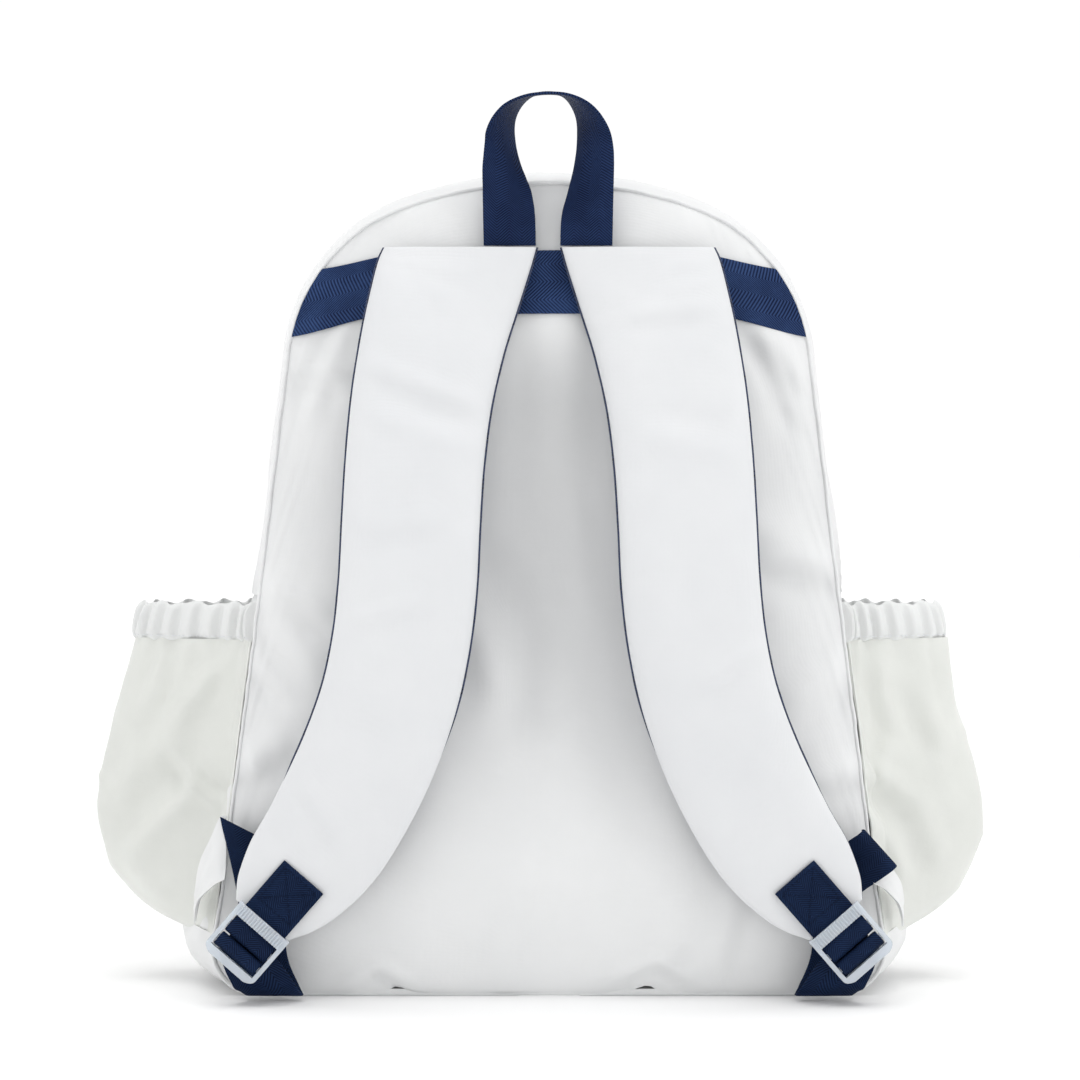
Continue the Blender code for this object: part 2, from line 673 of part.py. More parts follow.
def strap_frame(count=34):
    """Along one strap: the inner face's centre, the direction across it, its half width and thickness."""
    line = smooth_path([(x * MM, y * MM, z * MM) for x, z, _, y, _ in STRAP_STATIONS], count)
    sizes = smooth_path([(half * MM, thick * MM, 0) for _, _, half, _, thick in STRAP_STATIONS], count)
    frames = []
    for k, centre in enumerate(line):
        ahead, behind = line[min(k + 1, count - 1)], line[max(k - 1, 0)]
        along = Vector((ahead.x - behind.x, 0, ahead.z - behind.z)).normalized()
        across = Vector((-along.z, 0, along.x))
        turn = ramp(k, 0, 4)
        across = Vector((1, 0, 0)).lerp(across, turn).normalized()
        frames.append((centre, across, sizes[k].x, sizes[k].y))
    return frames


def strap_ring(frame, side, profile):
    """A ring across the strap; its profile gives shares of the half width and heights on the inner face."""
    centre, across, half, thick = frame
    ring = []
    for share, height, trim in profile(thick):
        point = centre + across * (share * half + trim) + Vector((0, -height, 0))
        ring.append(Vector((side * point.x, point.y, point.z)))
    return ring


def strap_cover_profile(thick):
    """An upturned channel: the crowned face, its two turned edges, and back along the inside."""
    skin = 1.0 * MM
    low = 1.5 * MM
    outer = [(-1, low, 0), (-1, thick * 0.55, 0), (-0.93, thick * 0.84, 0), (-0.55, thick, 0)]
    outer += [(0, thick * 1.04, 0)]
    outer += [(-share, height, 0) for share, height, _ in outer[-2::-1]]
    inner = []
    for share, height, _ in outer[::-1]:
        trim = -skin if share > 0.01 else skin if share < -0.01 else 0
        drop = 0 if height == low else skin
        inner.append((share, max(low, height - drop), trim))
    return outer + inner


def strap_foam_profile(thick):
    """The foam: clear of the cover by its skin at the edges and by a gap under its face."""
    skin, low = 1.4 * MM, 1.7 * MM
    top = thick - skin - GAP
    edge, shoulder = max(low + GAP, top * 0.55), max(low + 0.5 * MM, top * 0.82)
    left = [(-1, low, skin), (-1, edge, skin), (-0.93, shoulder, skin), (-0.5, top, 0)]
    return left + [(0, top, 0)] + [(-share, height, -trim) for share, height, trim in left[::-1]]


def strap_lining_profile(_):
    return [(-1, 0, -0.7 * MM), (1, 0, 0.7 * MM), (1, 1.2 * MM, 0.7 * MM), (-1, 1.2 * MM, -0.7 * MM)]


def make_strap(side, word):
    frames = strap_frame()
    for part, profile, paint in (
        ("cover", strap_cover_profile, white_cloth()),
        ("foam", strap_foam_profile, foam()),
        ("lining", strap_lining_profile, navy_mesh()),
    ):
        solid(f"strap_{part}_{word}", [strap_ring(frame, side, profile) for frame in frames], paint)
        hinge_at(f"strap_{part}_{word}", STRAP_HINGE)
    make_strap_tab(side, word)
    hinge_at(f"strap_tab_{word}", STRAP_HINGE)
    make_buckle(side, word)
    hinge_at(f"buckle_{word}", in_buckle(side, 12.2, 0, -0.2))
    make_adjuster(side, word)
    make_anchor_wing(side, word)


def in_buckle(side, u, v, n):
    """A point given in the buckle's frame, in millimetres: u away from the strap, v across, n outwards."""
    along = Vector((cos(BUCKLE_TURN), 0, -sin(BUCKLE_TURN)))
    across = Vector((sin(BUCKLE_TURN), 0, cos(BUCKLE_TURN)))
    point = BUCKLE_ORIGIN + (along * u + across * v + Vector((0, -1, 0)) * n) * MM
    return Vector((side * point.x, point.y, point.z))


def buckle_ribbon(name, side, path, half_width_mm, thick_mm, paint):
    """Webbing that lies across the buckle, along a path of (u, n) points."""
    rings = []
    for k, (u, n) in enumerate(path):
        ahead, behind = path[min(k + 1, len(path) - 1)], path[max(k - 1, 0)]
        du, dn = ahead[0] - behind[0], ahead[1] - behind[1]
        size = sqrt(du * du + dn * dn)
        face_u, face_n = -dn / size * thick_mm / 2, du / size * thick_mm / 2
        rings.append([
            in_buckle(side, u - face_u, -half_width_mm, n - face_n),
            in_buckle(side, u - face_u, half_width_mm, n - face_n),
            in_buckle(side, u + face_u, half_width_mm, n + face_n),
            in_buckle(side, u + face_u, -half_width_mm, n + face_n),
        ])
    return solid(name, rings, paint)


def arc_points(centre_u, centre_n, radius, start, end, steps):
    """(u, n) points on an arc, angles in degrees from +u towards +n."""
    return [
        (
            centre_u + radius * cos(radians(start + (end - start) * k / steps)),
            centre_n + radius * sin(radians(start + (end - start) * k / steps)),
        )
        for k in range(steps + 1)
    ]


def make_strap_tab(side, word):
    """The sewn tab: flat on the strap, under the ribbed bar, round the next bar and back under itself."""
    path = [(-29.5, 0.5), (-25, -0.1), (-19, -1.1), (-11, -1.6), (-4, -1.5), (2, -1.0)]
    path += [(5.2, -0.3), (7.6, 0.6), (9.6, 1.35), (11.5, 1.6)] + arc_points(14.0, -0.2, 1.8, 88, -90, 7)
    path += [(10, -2.0), (6, -2.5), (3.5, -2.8)]
    buckle_ribbon(f"strap_tab_{word}", side, path, 13.0, 1.2, navy_web())


def cell_body(name, us, vs, ns, filled, place, paint):
    """A solid made of the filled boxes between three lists of stations, with only its outer faces kept."""
    bm = bmesh.new()
    corners = {}

    def corner(i, j, k):
        if (i, j, k) not in corners:
            corners[i, j, k] = bm.verts.new(place(us[i], vs[j], ns[k]))
        return corners[i, j, k]

    cells = {
        (i, j, k)
        for i in range(len(us) - 1)
        for j in range(len(vs) - 1)
        for k in range(len(ns) - 1)
        if filled((us[i] + us[i + 1]) / 2, (vs[j] + vs[j + 1]) / 2, (ns[k] + ns[k + 1]) / 2)
    }
    for cell in cells:
        for axis in range(3):
            for step in (0, 1):
                beside = list(cell)
                beside[axis] += 2 * step - 1
                if tuple(beside) in cells:
                    continue
                face = []
                for first, second in ((0, 0), (1, 0), (1, 1), (0, 1)):
                    at = list(cell)
                    at[axis] += step
                    at[(axis + 1) % 3] += first
                    at[(axis + 2) % 3] += second
                    face.append(corner(*at))
                bm.faces.new(face)
    bmesh.ops.recalc_face_normals(bm, faces=bm.faces)
    return finish(name, bm, paint)


def make_buckle(side, word):
    """A moulded ladder-lock: ribbed bar, wrapped bar, grip bar and rounded tongue between two rails."""
    rib_lines = [BUCKLE_RAIL * (-1 + 2 * k / RIBS) for k in range(RIBS + 1)]

    def filled(u, v, n):
        if abs(v) > BUCKLE_RAIL or u > TONGUE_START:
            return n < 2.5
        if u < RIBBED_BAR_END:
            rib = int((v + BUCKLE_RAIL) * RIBS / (2 * BUCKLE_RAIL))
            return 1.1 < n < 2.5 or (n > 2.5 and rib % 2 == 0)
        if WRAPPED_BAR[0] < u < WRAPPED_BAR[1]:
            return -1.1 < n < 0.7
        return GRIP_BAR[0] < u < GRIP_BAR[1] and n < 0.7

    def place(u, v, n):
        past = max(0.0, (u - TONGUE_START) / (TONGUE_END - TONGUE_START))
        return in_buckle(side, u, v * sqrt(1 - 0.62 * past**3), n)

    along = [0, RIBBED_BAR_END, *WRAPPED_BAR, *GRIP_BAR, TONGUE_START, 27.6, 29.1, TONGUE_END]
    cell_body(
        f"buckle_{word}", along, [-BUCKLE_EDGE, *rib_lines, BUCKLE_EDGE],
        [-1.4, -1.1, 0.7, 1.1, 2.5, 3.1], filled, place, clear_plastic(),
    )


def make_adjuster(side, word):
    """Webbing from the corner wing down to the floor and up over the grip bar, with a tail behind it."""
    local = [(30.4, -7.2), (28.4, -6.2), (26, -5.2), (20.8, -4.0)]
    local += arc_points(21.0, -0.1, 3.15, 236, 60, 9)
    local += [(23.9, 0.9), (24.1, -0.9), (24.8, -2.3), (27.2, -3.4), (31.0, -3.7)]
    centres = [in_buckle(side, u, 0, n) for u, n in local]
    across = [in_buckle(side, 0, 1, 0) - in_buckle(side, 0, 0, 0)] * len(local)
    drop = [
        (156.5, -91.4, 12.4, 32), (151.0, -88.4, 7.4, 20), (145.0, -83.0, 4.4, 9),
        (142.6, -78.2, 7.2, 3), (144.0, -75.8, 18.0, -2), (147.5, -74.6, 36.0, -5),
        (151.5, -74.8, 54.0, -12), (155.6, -75.6, 67.0, -34), (159.6, -76.0, 76.5, -58),
    ]
    for x, y, z, turn in drop:
        centres.append(Vector((side * x, y, z)) * MM)
        across.append(Vector((side * cos(radians(turn)), 0, sin(radians(turn)))))
    faces = []
    for k, direction in enumerate(across):
        ahead, behind = centres[min(k + 1, len(centres) - 1)], centres[max(k - 1, 0)]
        faces.append((ahead - behind).cross(direction))
    ribbon(f"adjuster_web_{word}", centres, across, faces, 12.4 * MM, 0.6 * MM, navy_web())


def make_anchor_wing(side, word):
    """The cloth triangle in the side seam that the webbing is sewn to, wrapped round the bag's corner."""
    sections = [
        (184.0, -52.0, 36, 66), (181.5, -62.0, 42, 82), (176.5, -69.0, 50, 97), (171.5, -72.2, 60, 101),
    ]
    rings = []
    for k, (x, y, low, high) in enumerate(sections):
        ahead, behind = sections[min(k + 1, 3)], sections[max(k - 1, 0)]
        direction = Vector((ahead[0] - behind[0], ahead[1] - behind[1], 0)).normalized()
        face = Vector((-direction.y, direction.x, 0)) * 0.9
        ring = []
        for sign, z in ((-1, low), (1, low), (1, high), (-1, high)):
            point = Vector((x, y, z)) + face * sign
            ring.append(Vector((side * point.x, point.y, point.z)) * MM)
        rings.append(ring)
    solid(f"anchor_wing_{word}", rings, white_cloth())


def make_handle():
    """The grab loop: two flat legs whose webbing turns edge-on as it rises into a round top."""
    half = [
        (19.4, 384.9, 0), (19.6, 392, 4), (20.8, 402, 18), (22.8, 413, 38), (24.6, 425, 55), (25.6, 436, 68),
        (23.6, 447, 78), (18.0, 455.4, 84), (9.5, 460.2, 88), (0, 461.6, 90),
    ]
    stations = [(1, *row) for row in half] + [(-1, *row) for row in half[-2::-1]]
    centres, across = [], []
    for sign, x, z, turn in stations:
        centres.append(Vector((sign * x, -80.0, z)) * MM)
        across.append(Vector((sign * cos(radians(turn)), -sin(radians(turn)), 0)))
    for k in range(1, len(centres)):
        if across[k].dot(across[k - 1]) < 0:
            across[k] = -across[k]
    faces = []
    for k, direction in enumerate(across):
        ahead, behind = centres[min(k + 1, len(centres) - 1)], centres[max(k - 1, 0)]
        faces.append((ahead - behind).cross(direction))
    ribbon("grab_handle", centres, across, faces, WEB_WIDTH / 2, WEB_THICK / 2, navy_web())
    hinge_at("grab_handle", HANDLE_HINGE)


def main():
    for old in list(bpy.data.objects):
        bpy.data.objects.remove(old)
    make_body()
    make_band()
    make_inner_sleeve()
    make_racket_sleeve()
    make_front_pocket()
    make_keeper()
    make_handle()
    for side, word in ((-1, "left"), (1, "right")):
        make_side_pocket(side, word)
        make_strap(side, word)
        make_main_slider(side, word)
    for name in (
        "front_panel", "main_zip_front", "racket_sleeve", "sleeve_binding", "front_pocket", "front_zip_tape",
        "keeper_anchor", "snap_stud",
    ):
        hinge_at(name, DOOR_HINGE)


main()
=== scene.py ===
"""Looks of the racket backpack: cloth, webbing, zips, buckles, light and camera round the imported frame."""

from math import asin, cos, exp, floor, pi, radians, sin, sqrt

import bmesh
import bpy
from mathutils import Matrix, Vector, noise


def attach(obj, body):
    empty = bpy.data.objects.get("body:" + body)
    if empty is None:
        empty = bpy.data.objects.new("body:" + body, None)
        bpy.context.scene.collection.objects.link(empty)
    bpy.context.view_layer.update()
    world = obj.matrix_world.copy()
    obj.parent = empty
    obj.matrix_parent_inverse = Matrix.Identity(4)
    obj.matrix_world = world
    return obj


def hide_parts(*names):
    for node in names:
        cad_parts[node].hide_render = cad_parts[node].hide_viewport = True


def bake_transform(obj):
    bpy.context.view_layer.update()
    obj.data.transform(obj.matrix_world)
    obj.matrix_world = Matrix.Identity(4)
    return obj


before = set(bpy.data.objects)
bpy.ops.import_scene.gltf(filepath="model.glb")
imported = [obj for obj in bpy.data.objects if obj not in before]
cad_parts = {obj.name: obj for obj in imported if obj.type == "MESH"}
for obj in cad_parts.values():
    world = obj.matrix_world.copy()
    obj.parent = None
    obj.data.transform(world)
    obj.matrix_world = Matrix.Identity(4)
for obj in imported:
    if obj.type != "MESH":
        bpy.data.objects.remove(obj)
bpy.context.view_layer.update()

MM = 0.001
SKY_LEVEL = 0.42

# The bag's outline and depths, as the CAD has them, except that the pockets' cloth starts 1 mm lower.
SEAM_TOP = 419 * MM
TOP_RADIUS = 225 * MM
SHOULDER_RADIUS = 90 * MM
CORNER_RADIUS = 26 * MM
BASE_HALF = 176 * MM
LEAN = radians(7.2)
BACK_SEAM_Y = -62 * MM
BACK_INNER_Y = -56 * MM
FRONT_SEAM_Y = 60 * MM
ZIP_REAR_Y = 47 * MM
ZIP_FRONT_Y = 55 * MM
BACK_CROWN = 25 * MM
SPINE_DEEP = 15 * MM
SPINE_WIDTH = 66 * MM
FRONT_CROWN = 11 * MM
DOOR_FOLD_Z = 58 * MM
BAND_LOW_Z = 350 * MM
BAND_HIGH_Z = 383 * MM
POCKET_BACK_Y = -43 * MM
POCKET_FRONT_Y = 41 * MM
POCKET_LOW_Z = 28 * MM
POCKET_ELASTIC_Z = 182 * MM
POCKET_TOP_Z = 203 * MM
RIGHT_POCKET_SHARE = 0.84
SLEEVE_HALF = 128 * MM
SLEEVE_DEPTH = 27 * MM
SLEEVE_LOW_Z = 66 * MM
SLEEVE_TOP_Z = 326 * MM
FRONT_POCKET_HALF = 84 * MM
FRONT_POCKET_LOW_Z = 96 * MM
FRONT_ZIP_Z = 212 * MM
KEEPER_Z = 352 * MM
BUCKLE_ORIGIN = Vector((142.7, -96.6, 43.2)) * MM
BUCKLE_TURN = radians(49)
# Along a strap's centre line: x, z, half width, y and thickness in millimetres.
STRAP_STATIONS = [
    (45.0, 383.4, 38.6, -83.4, 5.0),
    (50.0, 368.0, 37.6, -85.2, 8.0),
    (54.5, 352.0, 36.8, -88.2, 10.0),
    (58.8, 334.0, 36.0, -92.6, 10.5),
    (63.8, 306.0, 35.0, -99.2, 10.5),
    (67.0, 275.0, 34.4, -105.0, 10.5),
    (68.8, 244.0, 34.2, -108.6, 10.5),
    (70.4, 212.0, 34.2, -110.2, 10.5),
    (74.0, 182.0, 34.0, -109.6, 10.5),
    (81.0, 152.0, 33.8, -106.6, 10.5),
    (93.4, 120.0, 33.6, -101.4, 10.5),
    (111.0, 87.0, 32.6, -93.0, 9.5),
    (126.8, 66.0, 29.6, -88.6, 7.0),
    (138.0, 52.0, 24.0, -87.4, 5.2),
    (145.0, 43.0, 17.0, -87.2, 4.6),
]
STRAP_HALF = 34  # millimetres: the half width that the creases are laid out on
STRAP_COLUMNS = 35
WEB_WIDTH = 26 * MM
THIN_WEB = 1.2 * MM
LOWEST_WEB = 0.3 * MM
GUSSET_CLOTH = 3 * MM
GUSSET_STEP = 4 * MM

SIDE_NORMAL = Vector((cos(LEAN), sin(LEAN)))
SIDE_OFFSET = BASE_HALF * cos(LEAN)
TOP_CENTRE = Vector((0, SEAM_TOP - TOP_RADIUS))
SHOULDER_START = (
    asin((SIDE_OFFSET - SHOULDER_RADIUS - TOP_CENTRE.y * sin(LEAN)) / (TOP_RADIUS - SHOULDER_RADIUS)) - LEAN
)
SHOULDER_CENTRE = TOP_CENTRE + (TOP_RADIUS - SHOULDER_RADIUS) * Vector((sin(SHOULDER_START), cos(SHOULDER_START)))
CORNER_CENTRE = Vector(((SIDE_OFFSET - CORNER_RADIUS * (1 + sin(LEAN))) / cos(LEAN), CORNER_RADIUS))
CORNER_END = CORNER_CENTRE + CORNER_RADIUS * SIDE_NORMAL
SHOULDER_END = SHOULDER_CENTRE + SHOULDER_RADIUS * SIDE_NORMAL
BASE_LENGTH = CORNER_CENTRE.x
CORNER_LENGTH = CORNER_RADIUS * (pi / 2 + LEAN)
SIDE_LENGTH = (SHOULDER_END - CORNER_END).length
SHOULDER_LENGTH = SHOULDER_RADIUS * (pi / 2 - LEAN - SHOULDER_START)
TOP_LENGTH = TOP_RADIUS * SHOULDER_START
HALF_LENGTH = BASE_LENGTH + CORNER_LENGTH + SIDE_LENGTH + SHOULDER_LENGTH + TOP_LENGTH


# ---------------------------------------------------------------- shape functions, after the CAD's

def ramp(value, start, end):
    return min(1.0, max(0.0, (value - start) / (end - start)))


def smooth(value, start, end):
    t = ramp(value, start, end)
    return t * t * (3 - 2 * t)


def bell(value, middle, width):
    """1 at the middle, falling away on either side."""
    return exp(-(((value - middle) / width) ** 2))


def outline_at(s):
    """(point, outward normal) on the right half of the seam outline, from the base's middle to the top."""
    if s <= BASE_LENGTH:
        return Vector((s, 0.0)), Vector((0.0, -1.0))
    s -= BASE_LENGTH
    if s <= CORNER_LENGTH:
        angle = -pi / 2 + s / CORNER_RADIUS
        normal = Vector((cos(angle), sin(angle)))
        return CORNER_CENTRE + CORNER_RADIUS * normal, normal
    s -= CORNER_LENGTH
    if s <= SIDE_LENGTH:
        return CORNER_END.lerp(SHOULDER_END, s / SIDE_LENGTH), SIDE_NORMAL.copy()
    s -= SIDE_LENGTH
    if s <= SHOULDER_LENGTH:
        angle = LEAN + s / SHOULDER_RADIUS
        normal = Vector((cos(angle), sin(angle)))
        return SHOULDER_CENTRE + SHOULDER_RADIUS * normal, normal
    s = min(s - SHOULDER_LENGTH, TOP_LENGTH)
    angle = pi / 2 - SHOULDER_START + s / TOP_RADIUS
    normal = Vector((cos(angle), sin(angle)))
    return TOP_CENTRE + TOP_RADIUS * normal, normal


def length_at(z):
    return BASE_LENGTH + CORNER_LENGTH + SIDE_LENGTH * (z - CORNER_END.y) / (SHOULDER_END.y - CORNER_END.y)


def half_width(z):
    if z < CORNER_RADIUS:
        return CORNER_CENTRE.x + sqrt(max(0.0, CORNER_RADIUS**2 - (CORNER_RADIUS - z) ** 2))
    if z < SHOULDER_END.y:
        return (SIDE_OFFSET - z * sin(LEAN)) / cos(LEAN)
    join = SHOULDER_CENTRE.y + SHOULDER_RADIUS * cos(SHOULDER_START)
    if z < join:
        return SHOULDER_CENTRE.x + sqrt(max(0.0, SHOULDER_RADIUS**2 - (z - SHOULDER_CENTRE.y) ** 2))
    return sqrt(max(0.0, TOP_RADIUS**2 - (z - TOP_CENTRE.y) ** 2))


def crown(x, z):
    across = min(1.0, abs(x) / max(half_width(z), 1e-6))
    middle = SEAM_TOP / 2
    return (1 - across**3) * max(0.0, 1 - abs((z - middle) / middle) ** 4)


def spine(x, z):
    """The hollow down the middle of the back panel."""
    return exp(-((x / SPINE_WIDTH) ** 4)) * smooth(z, 60 * MM, 190 * MM) * (1 - smooth(z, 300 * MM, 346 * MM))


def back_y(x, z):
    return BACK_SEAM_Y - BACK_CROWN * crown(x, z) + SPINE_DEEP * spine(x, z)


def front_y(x, z):
    return FRONT_SEAM_Y + FRONT_CROWN * crown(x, z)


def bulge(z, normal_z):
    swell = 8 * MM + 5 * MM * ramp(z, SHOULDER_END.y, SEAM_TOP) + 8 * MM * ramp(z, 150 * MM, 0)
    return swell * (1 - max(0.0, -normal_z))


def gusset_offset(z, normal_z, y):
    middle = (BACK_SEAM_Y + FRONT_SEAM_Y) / 2
    across = (y - middle) / (FRONT_SEAM_Y - middle)
    return bulge(z, normal_z) * (1 - across**2)


def side_x(y, z):
    return half_width(z) + gusset_offset(z, 0.0, y) / cos(LEAN)


def pocket_reach(side, z):
    low = ramp(z, 23 * MM, 100 * MM)
    reach = 23 * MM + 44 * MM * sin(low * pi / 2) - 8.5 * MM * ramp(z, 120 * MM, POCKET_TOP_Z)
    return reach * (1.0 if side < 0 else RIGHT_POCKET_SHARE)


def sleeve_y(x, z):
    lift = SLEEVE_DEPTH * (0.45 + 0.55 * sin(ramp(z, SLEEVE_LOW_Z - 4 * MM, 120 * MM) * pi / 2))
    across = min(1.0, abs(x) / SLEEVE_HALF)
    return front_y(x, z) + 1.4 * MM + lift * (1 - across**6)


def on_side(side, point):
    """A point of the right half, on the left (-1) or right (1) side."""
    return Vector((side * point.x, point.y, point.z))


def in_buckle(side, u, v, n):
    """A place given in millimetres along, across and out of a buckle."""
    along = Vector((cos(BUCKLE_TURN), 0, -sin(BUCKLE_TURN)))
    across = Vector((sin(BUCKLE_TURN), 0, cos(BUCKLE_TURN)))
    point = BUCKLE_ORIGIN + (along * u + across * v + Vector((0, -1, 0)) * n) * MM
    return on_side(side, point)


def spline(points, count):
    """Catmull-Rom through the points: count points evenly spaced in its own parameter."""
    points = [Vector(p) for p in points]
    padded = [2 * points[0] - points[1], *points, 2 * points[-1] - points[-2]]
    made = []
    for k in range(count):
        along = k / (count - 1) * (len(points) - 1)
        i = min(int(along), len(points) - 2)
        t = along - i
        a, b, c, d = padded[i : i + 4]
        made.append(
            0.5 * (2 * b + (c - a) * t + (2 * a - 5 * b + 4 * c - d) * t**2 + (3 * b - a - 3 * c + d) * t**3)
        )
    return made


def wave(x, y, z=0.0):
    """Smooth noise from -1 to 1 at a place given in feature sizes."""
    return noise.noise(Vector((x, y, z)))


def crease(x, z, start, end, width, depth):
    """A soft fold along a line in the plane of a panel: a ridge with a valley beside it."""
    a, b, p = Vector(start) * MM, Vector(end) * MM, Vector((x, z))
    run = b - a
    along = (p - a).dot(run) / run.length_squared
    off = (p - a).cross(run) / run.length / (width * MM)
    ends = smooth(along, -0.25, 0.2) * (1 - smooth(along, 0.8, 1.25))
    return depth * MM * ends * (exp(-off * off) - 0.8 * exp(-((off - 1.7) ** 2)))


def creases(x, z, table):
    """Folds from a table of start, end, width and depth in millimetres. A negative depth is a hollow."""
    return sum(crease(x, z, *row) for row in table)


# ---------------------------------------------------------------- materials

class Graph:
    """A material's node tree with short calls for its nodes."""

    def __init__(self, name):
        self.material = bpy.data.materials.new(name)
        self.material.use_nodes = True
        self.tree = self.material.node_tree
        self.shader = self.tree.nodes["Principled BSDF"]
        self.place = self.node("ShaderNodeTexCoord").outputs["Object"]

    def node(self, kind, **settings):
        made = self.tree.nodes.new(kind)
        for key, value in settings.items():
            setattr(made, key, value)
        return made

    def link(self, source, target):
        self.tree.links.new(source, target)

    def noise(self, scale, detail=3.0, rough=0.5, distortion=0.0, vector=None):
        made = self.node("ShaderNodeTexNoise")
        made.inputs["Scale"].default_value = scale
        made.inputs["Detail"].default_value = detail
        made.inputs["Roughness"].default_value = rough
        made.inputs["Distortion"].default_value = distortion
        self.link(vector or self.place, made.inputs["Vector"])
        return made.outputs["Fac"]

    def math(self, operation, a, b=None, c=None):
        made = self.node("ShaderNodeMath", operation=operation)
        for slot, value in enumerate((a, b, c)):
            if value is None:
                continue
            if isinstance(value, (int, float)):
                made.inputs[slot].default_value = value
            else:
                self.link(value, made.inputs[slot])
        return made.outputs[0]

    def mix(self, factor, low, high):
        made = self.node("ShaderNodeMix", data_type="RGBA")
        self.link(factor, made.inputs["Factor"])
        for key, value in (("A", low), ("B", high)):
            socket = [s for s in made.inputs if s.name == key and s.type == "RGBA"][0]
            if isinstance(value, tuple):
                socket.default_value = (*value, 1.0)
            else:
                self.link(value, socket)
        return [s for s in made.outputs if s.type == "RGBA"][0]

    def span(self, value, low, high, start=0.0, end=1.0):
        made = self.node("ShaderNodeMapRange", clamp=True)
        for key, number in (("From Min", low), ("From Max", high), ("To Min", start), ("To Max", end)):
            made.inputs[key].default_value = number
        self.link(value, made.inputs["Value"])
        return made.outputs["Result"]

    def bump(self, height, strength, distance, below=None):
        made = self.node("ShaderNodeBump")
        made.inputs["Strength"].default_value = strength
        made.inputs["Distance"].default_value = distance
        self.link(height, made.inputs["Height"])
        if below:
            self.link(below, made.inputs["Normal"])
        return made.outputs["Normal"]

    def axes(self, source=None):
        made = self.node("ShaderNodeSeparateXYZ")
        self.link(source or self.place, made.inputs[0])
        return made.outputs

    def stripes(self, value, pitch):
        """A smooth 0..1 wave with this pitch in metres."""
        turned = self.math("SINE", self.math("MULTIPLY", value, 2 * pi / pitch))
        return self.math("MULTIPLY_ADD", turned, 0.5, 0.5)

    def set(self, **values):
        for key, value in values.items():
            self.shader.inputs[key.replace("_", " ")].default_value = value

    def done(self, colour, normal, rough=None):
        self.link(colour, self.shader.inputs["Base Color"])
        self.link(normal, self.shader.inputs["Normal"])
        if rough is not None:
            self.link(rough, self.shader.inputs["Roughness"])
        return self.material


def cloth(name, light, dark, thread=0.62 * MM, crinkle=0.5, see_through=0.0, roughness=0.56):
    """Plain-woven coated nylon: crossing threads, fine crinkle and a slightly uneven colour."""
    g = Graph(name)
    x, y, z = g.axes()
    weave = g.math("ADD", g.math("ADD", g.stripes(x, thread), g.stripes(z, thread)), g.stripes(y, thread))
    crinkled = g.noise(85, 5, 0.62, 0.6)
    soft = g.noise(22, 3, 0.5, 0.3)
    patch = g.span(g.noise(13, 4, 0.6), 0.3, 0.7)
    colour = g.mix(patch, dark, light)
    normal = g.bump(soft, 0.28 * crinkle, 4 * MM)
    normal = g.bump(crinkled, 0.3 * crinkle, 0.9 * MM, normal)
    normal = g.bump(weave, 0.22, 0.06 * MM, normal)
    g.set(Sheen_Weight=0.12, Sheen_Roughness=0.5, Specular_IOR_Level=0.35)
    if see_through:
        g.set(Subsurface_Weight=see_through, Subsurface_Scale=0.012, Subsurface_Radius=(1.0, 1.0, 1.0))
    rough = g.span(crinkled, 0.3, 0.7, roughness - 0.07, roughness + 0.07)
    return g.done(colour, normal, rough)


def webbing(name, light, dark, rib=3.25 * MM, pitch=1.7 * MM):
    """Herringbone webbing: the threads' slant turns over at every rib across its width."""
    g = Graph(name)
    uv = g.axes(g.node("ShaderNodeTexCoord").outputs["UV"])
    across = g.math("PINGPONG", uv[0], rib)
    slant = g.stripes(g.math("ADD", uv[1], g.math("MULTIPLY", across, 0.9)), pitch)
    picks = g.stripes(uv[1], 0.55 * MM)
    fibre = g.noise(900, 2, 0.6)
    worn = g.span(g.noise(40, 4, 0.6), 0.35, 0.75)
    tone = g.math("ADD", g.math("MULTIPLY", slant, 0.75), g.math("MULTIPLY", g.math("MULTIPLY", fibre, worn), 0.6))
    colour = g.mix(g.span(tone, 0.05, 0.95), dark, light)
    height = g.math("ADD", slant, g.math("MULTIPLY", g.math("ADD", picks, fibre), 0.3))
    normal = g.bump(height, 0.5, 0.32 * MM)
    g.set(Roughness=0.55, Specular_IOR_Level=0.06)
    return g.done(colour, normal)


def air_mesh(name, light, dark):
    """Knitted spacer mesh: rows of small round holes."""
    g = Graph(name)
    cells = g.node("ShaderNodeTexVoronoi", feature="F1")
    cells.inputs["Scale"].default_value = 480
    cells.inputs["Randomness"].default_value = 0.25
    g.link(g.place, cells.inputs["Vector"])
    hole = g.span(cells.outputs["Distance"], 0.1, 0.5)
    colour = g.mix(hole, dark, light)
    g.set(Roughness=0.8, Sheen_Weight=0.25)
    return g.done(colour, g.bump(hole, 0.7, 0.5 * MM))


def plastic(name, colour, shade, clear=0.0, roughness=0.3, grain=0.25):
    g = Graph(name)
    patch = g.span(g.noise(60, 3, 0.6), 0.3, 0.7)
    g.set(Transmission_Weight=clear, IOR=1.5, Specular_IOR_Level=0.5)
    if clear:
        g.set(Subsurface_Weight=0.2, Subsurface_Scale=0.002, Subsurface_Radius=(0.8, 0.9, 1.0))
    rough = g.span(g.noise(300, 3, 0.6), 0.3, 0.7, roughness - 0.06, roughness + 0.08)
    return g.done(g.mix(patch, shade, colour), g.bump(g.noise(1400, 2, 0.5), grain, 0.05 * MM), rough)


def metal(name, colour, shade):
    g = Graph(name)
    worn = g.span(g.noise(220, 5, 0.65), 0.35, 0.7)
    g.set(Metallic=1.0)
    return g.done(
        g.mix(worn, shade, colour), g.bump(g.noise(900, 3, 0.6), 0.12, 0.05 * MM), g.span(worn, 0, 1, 0.18, 0.36),
    )


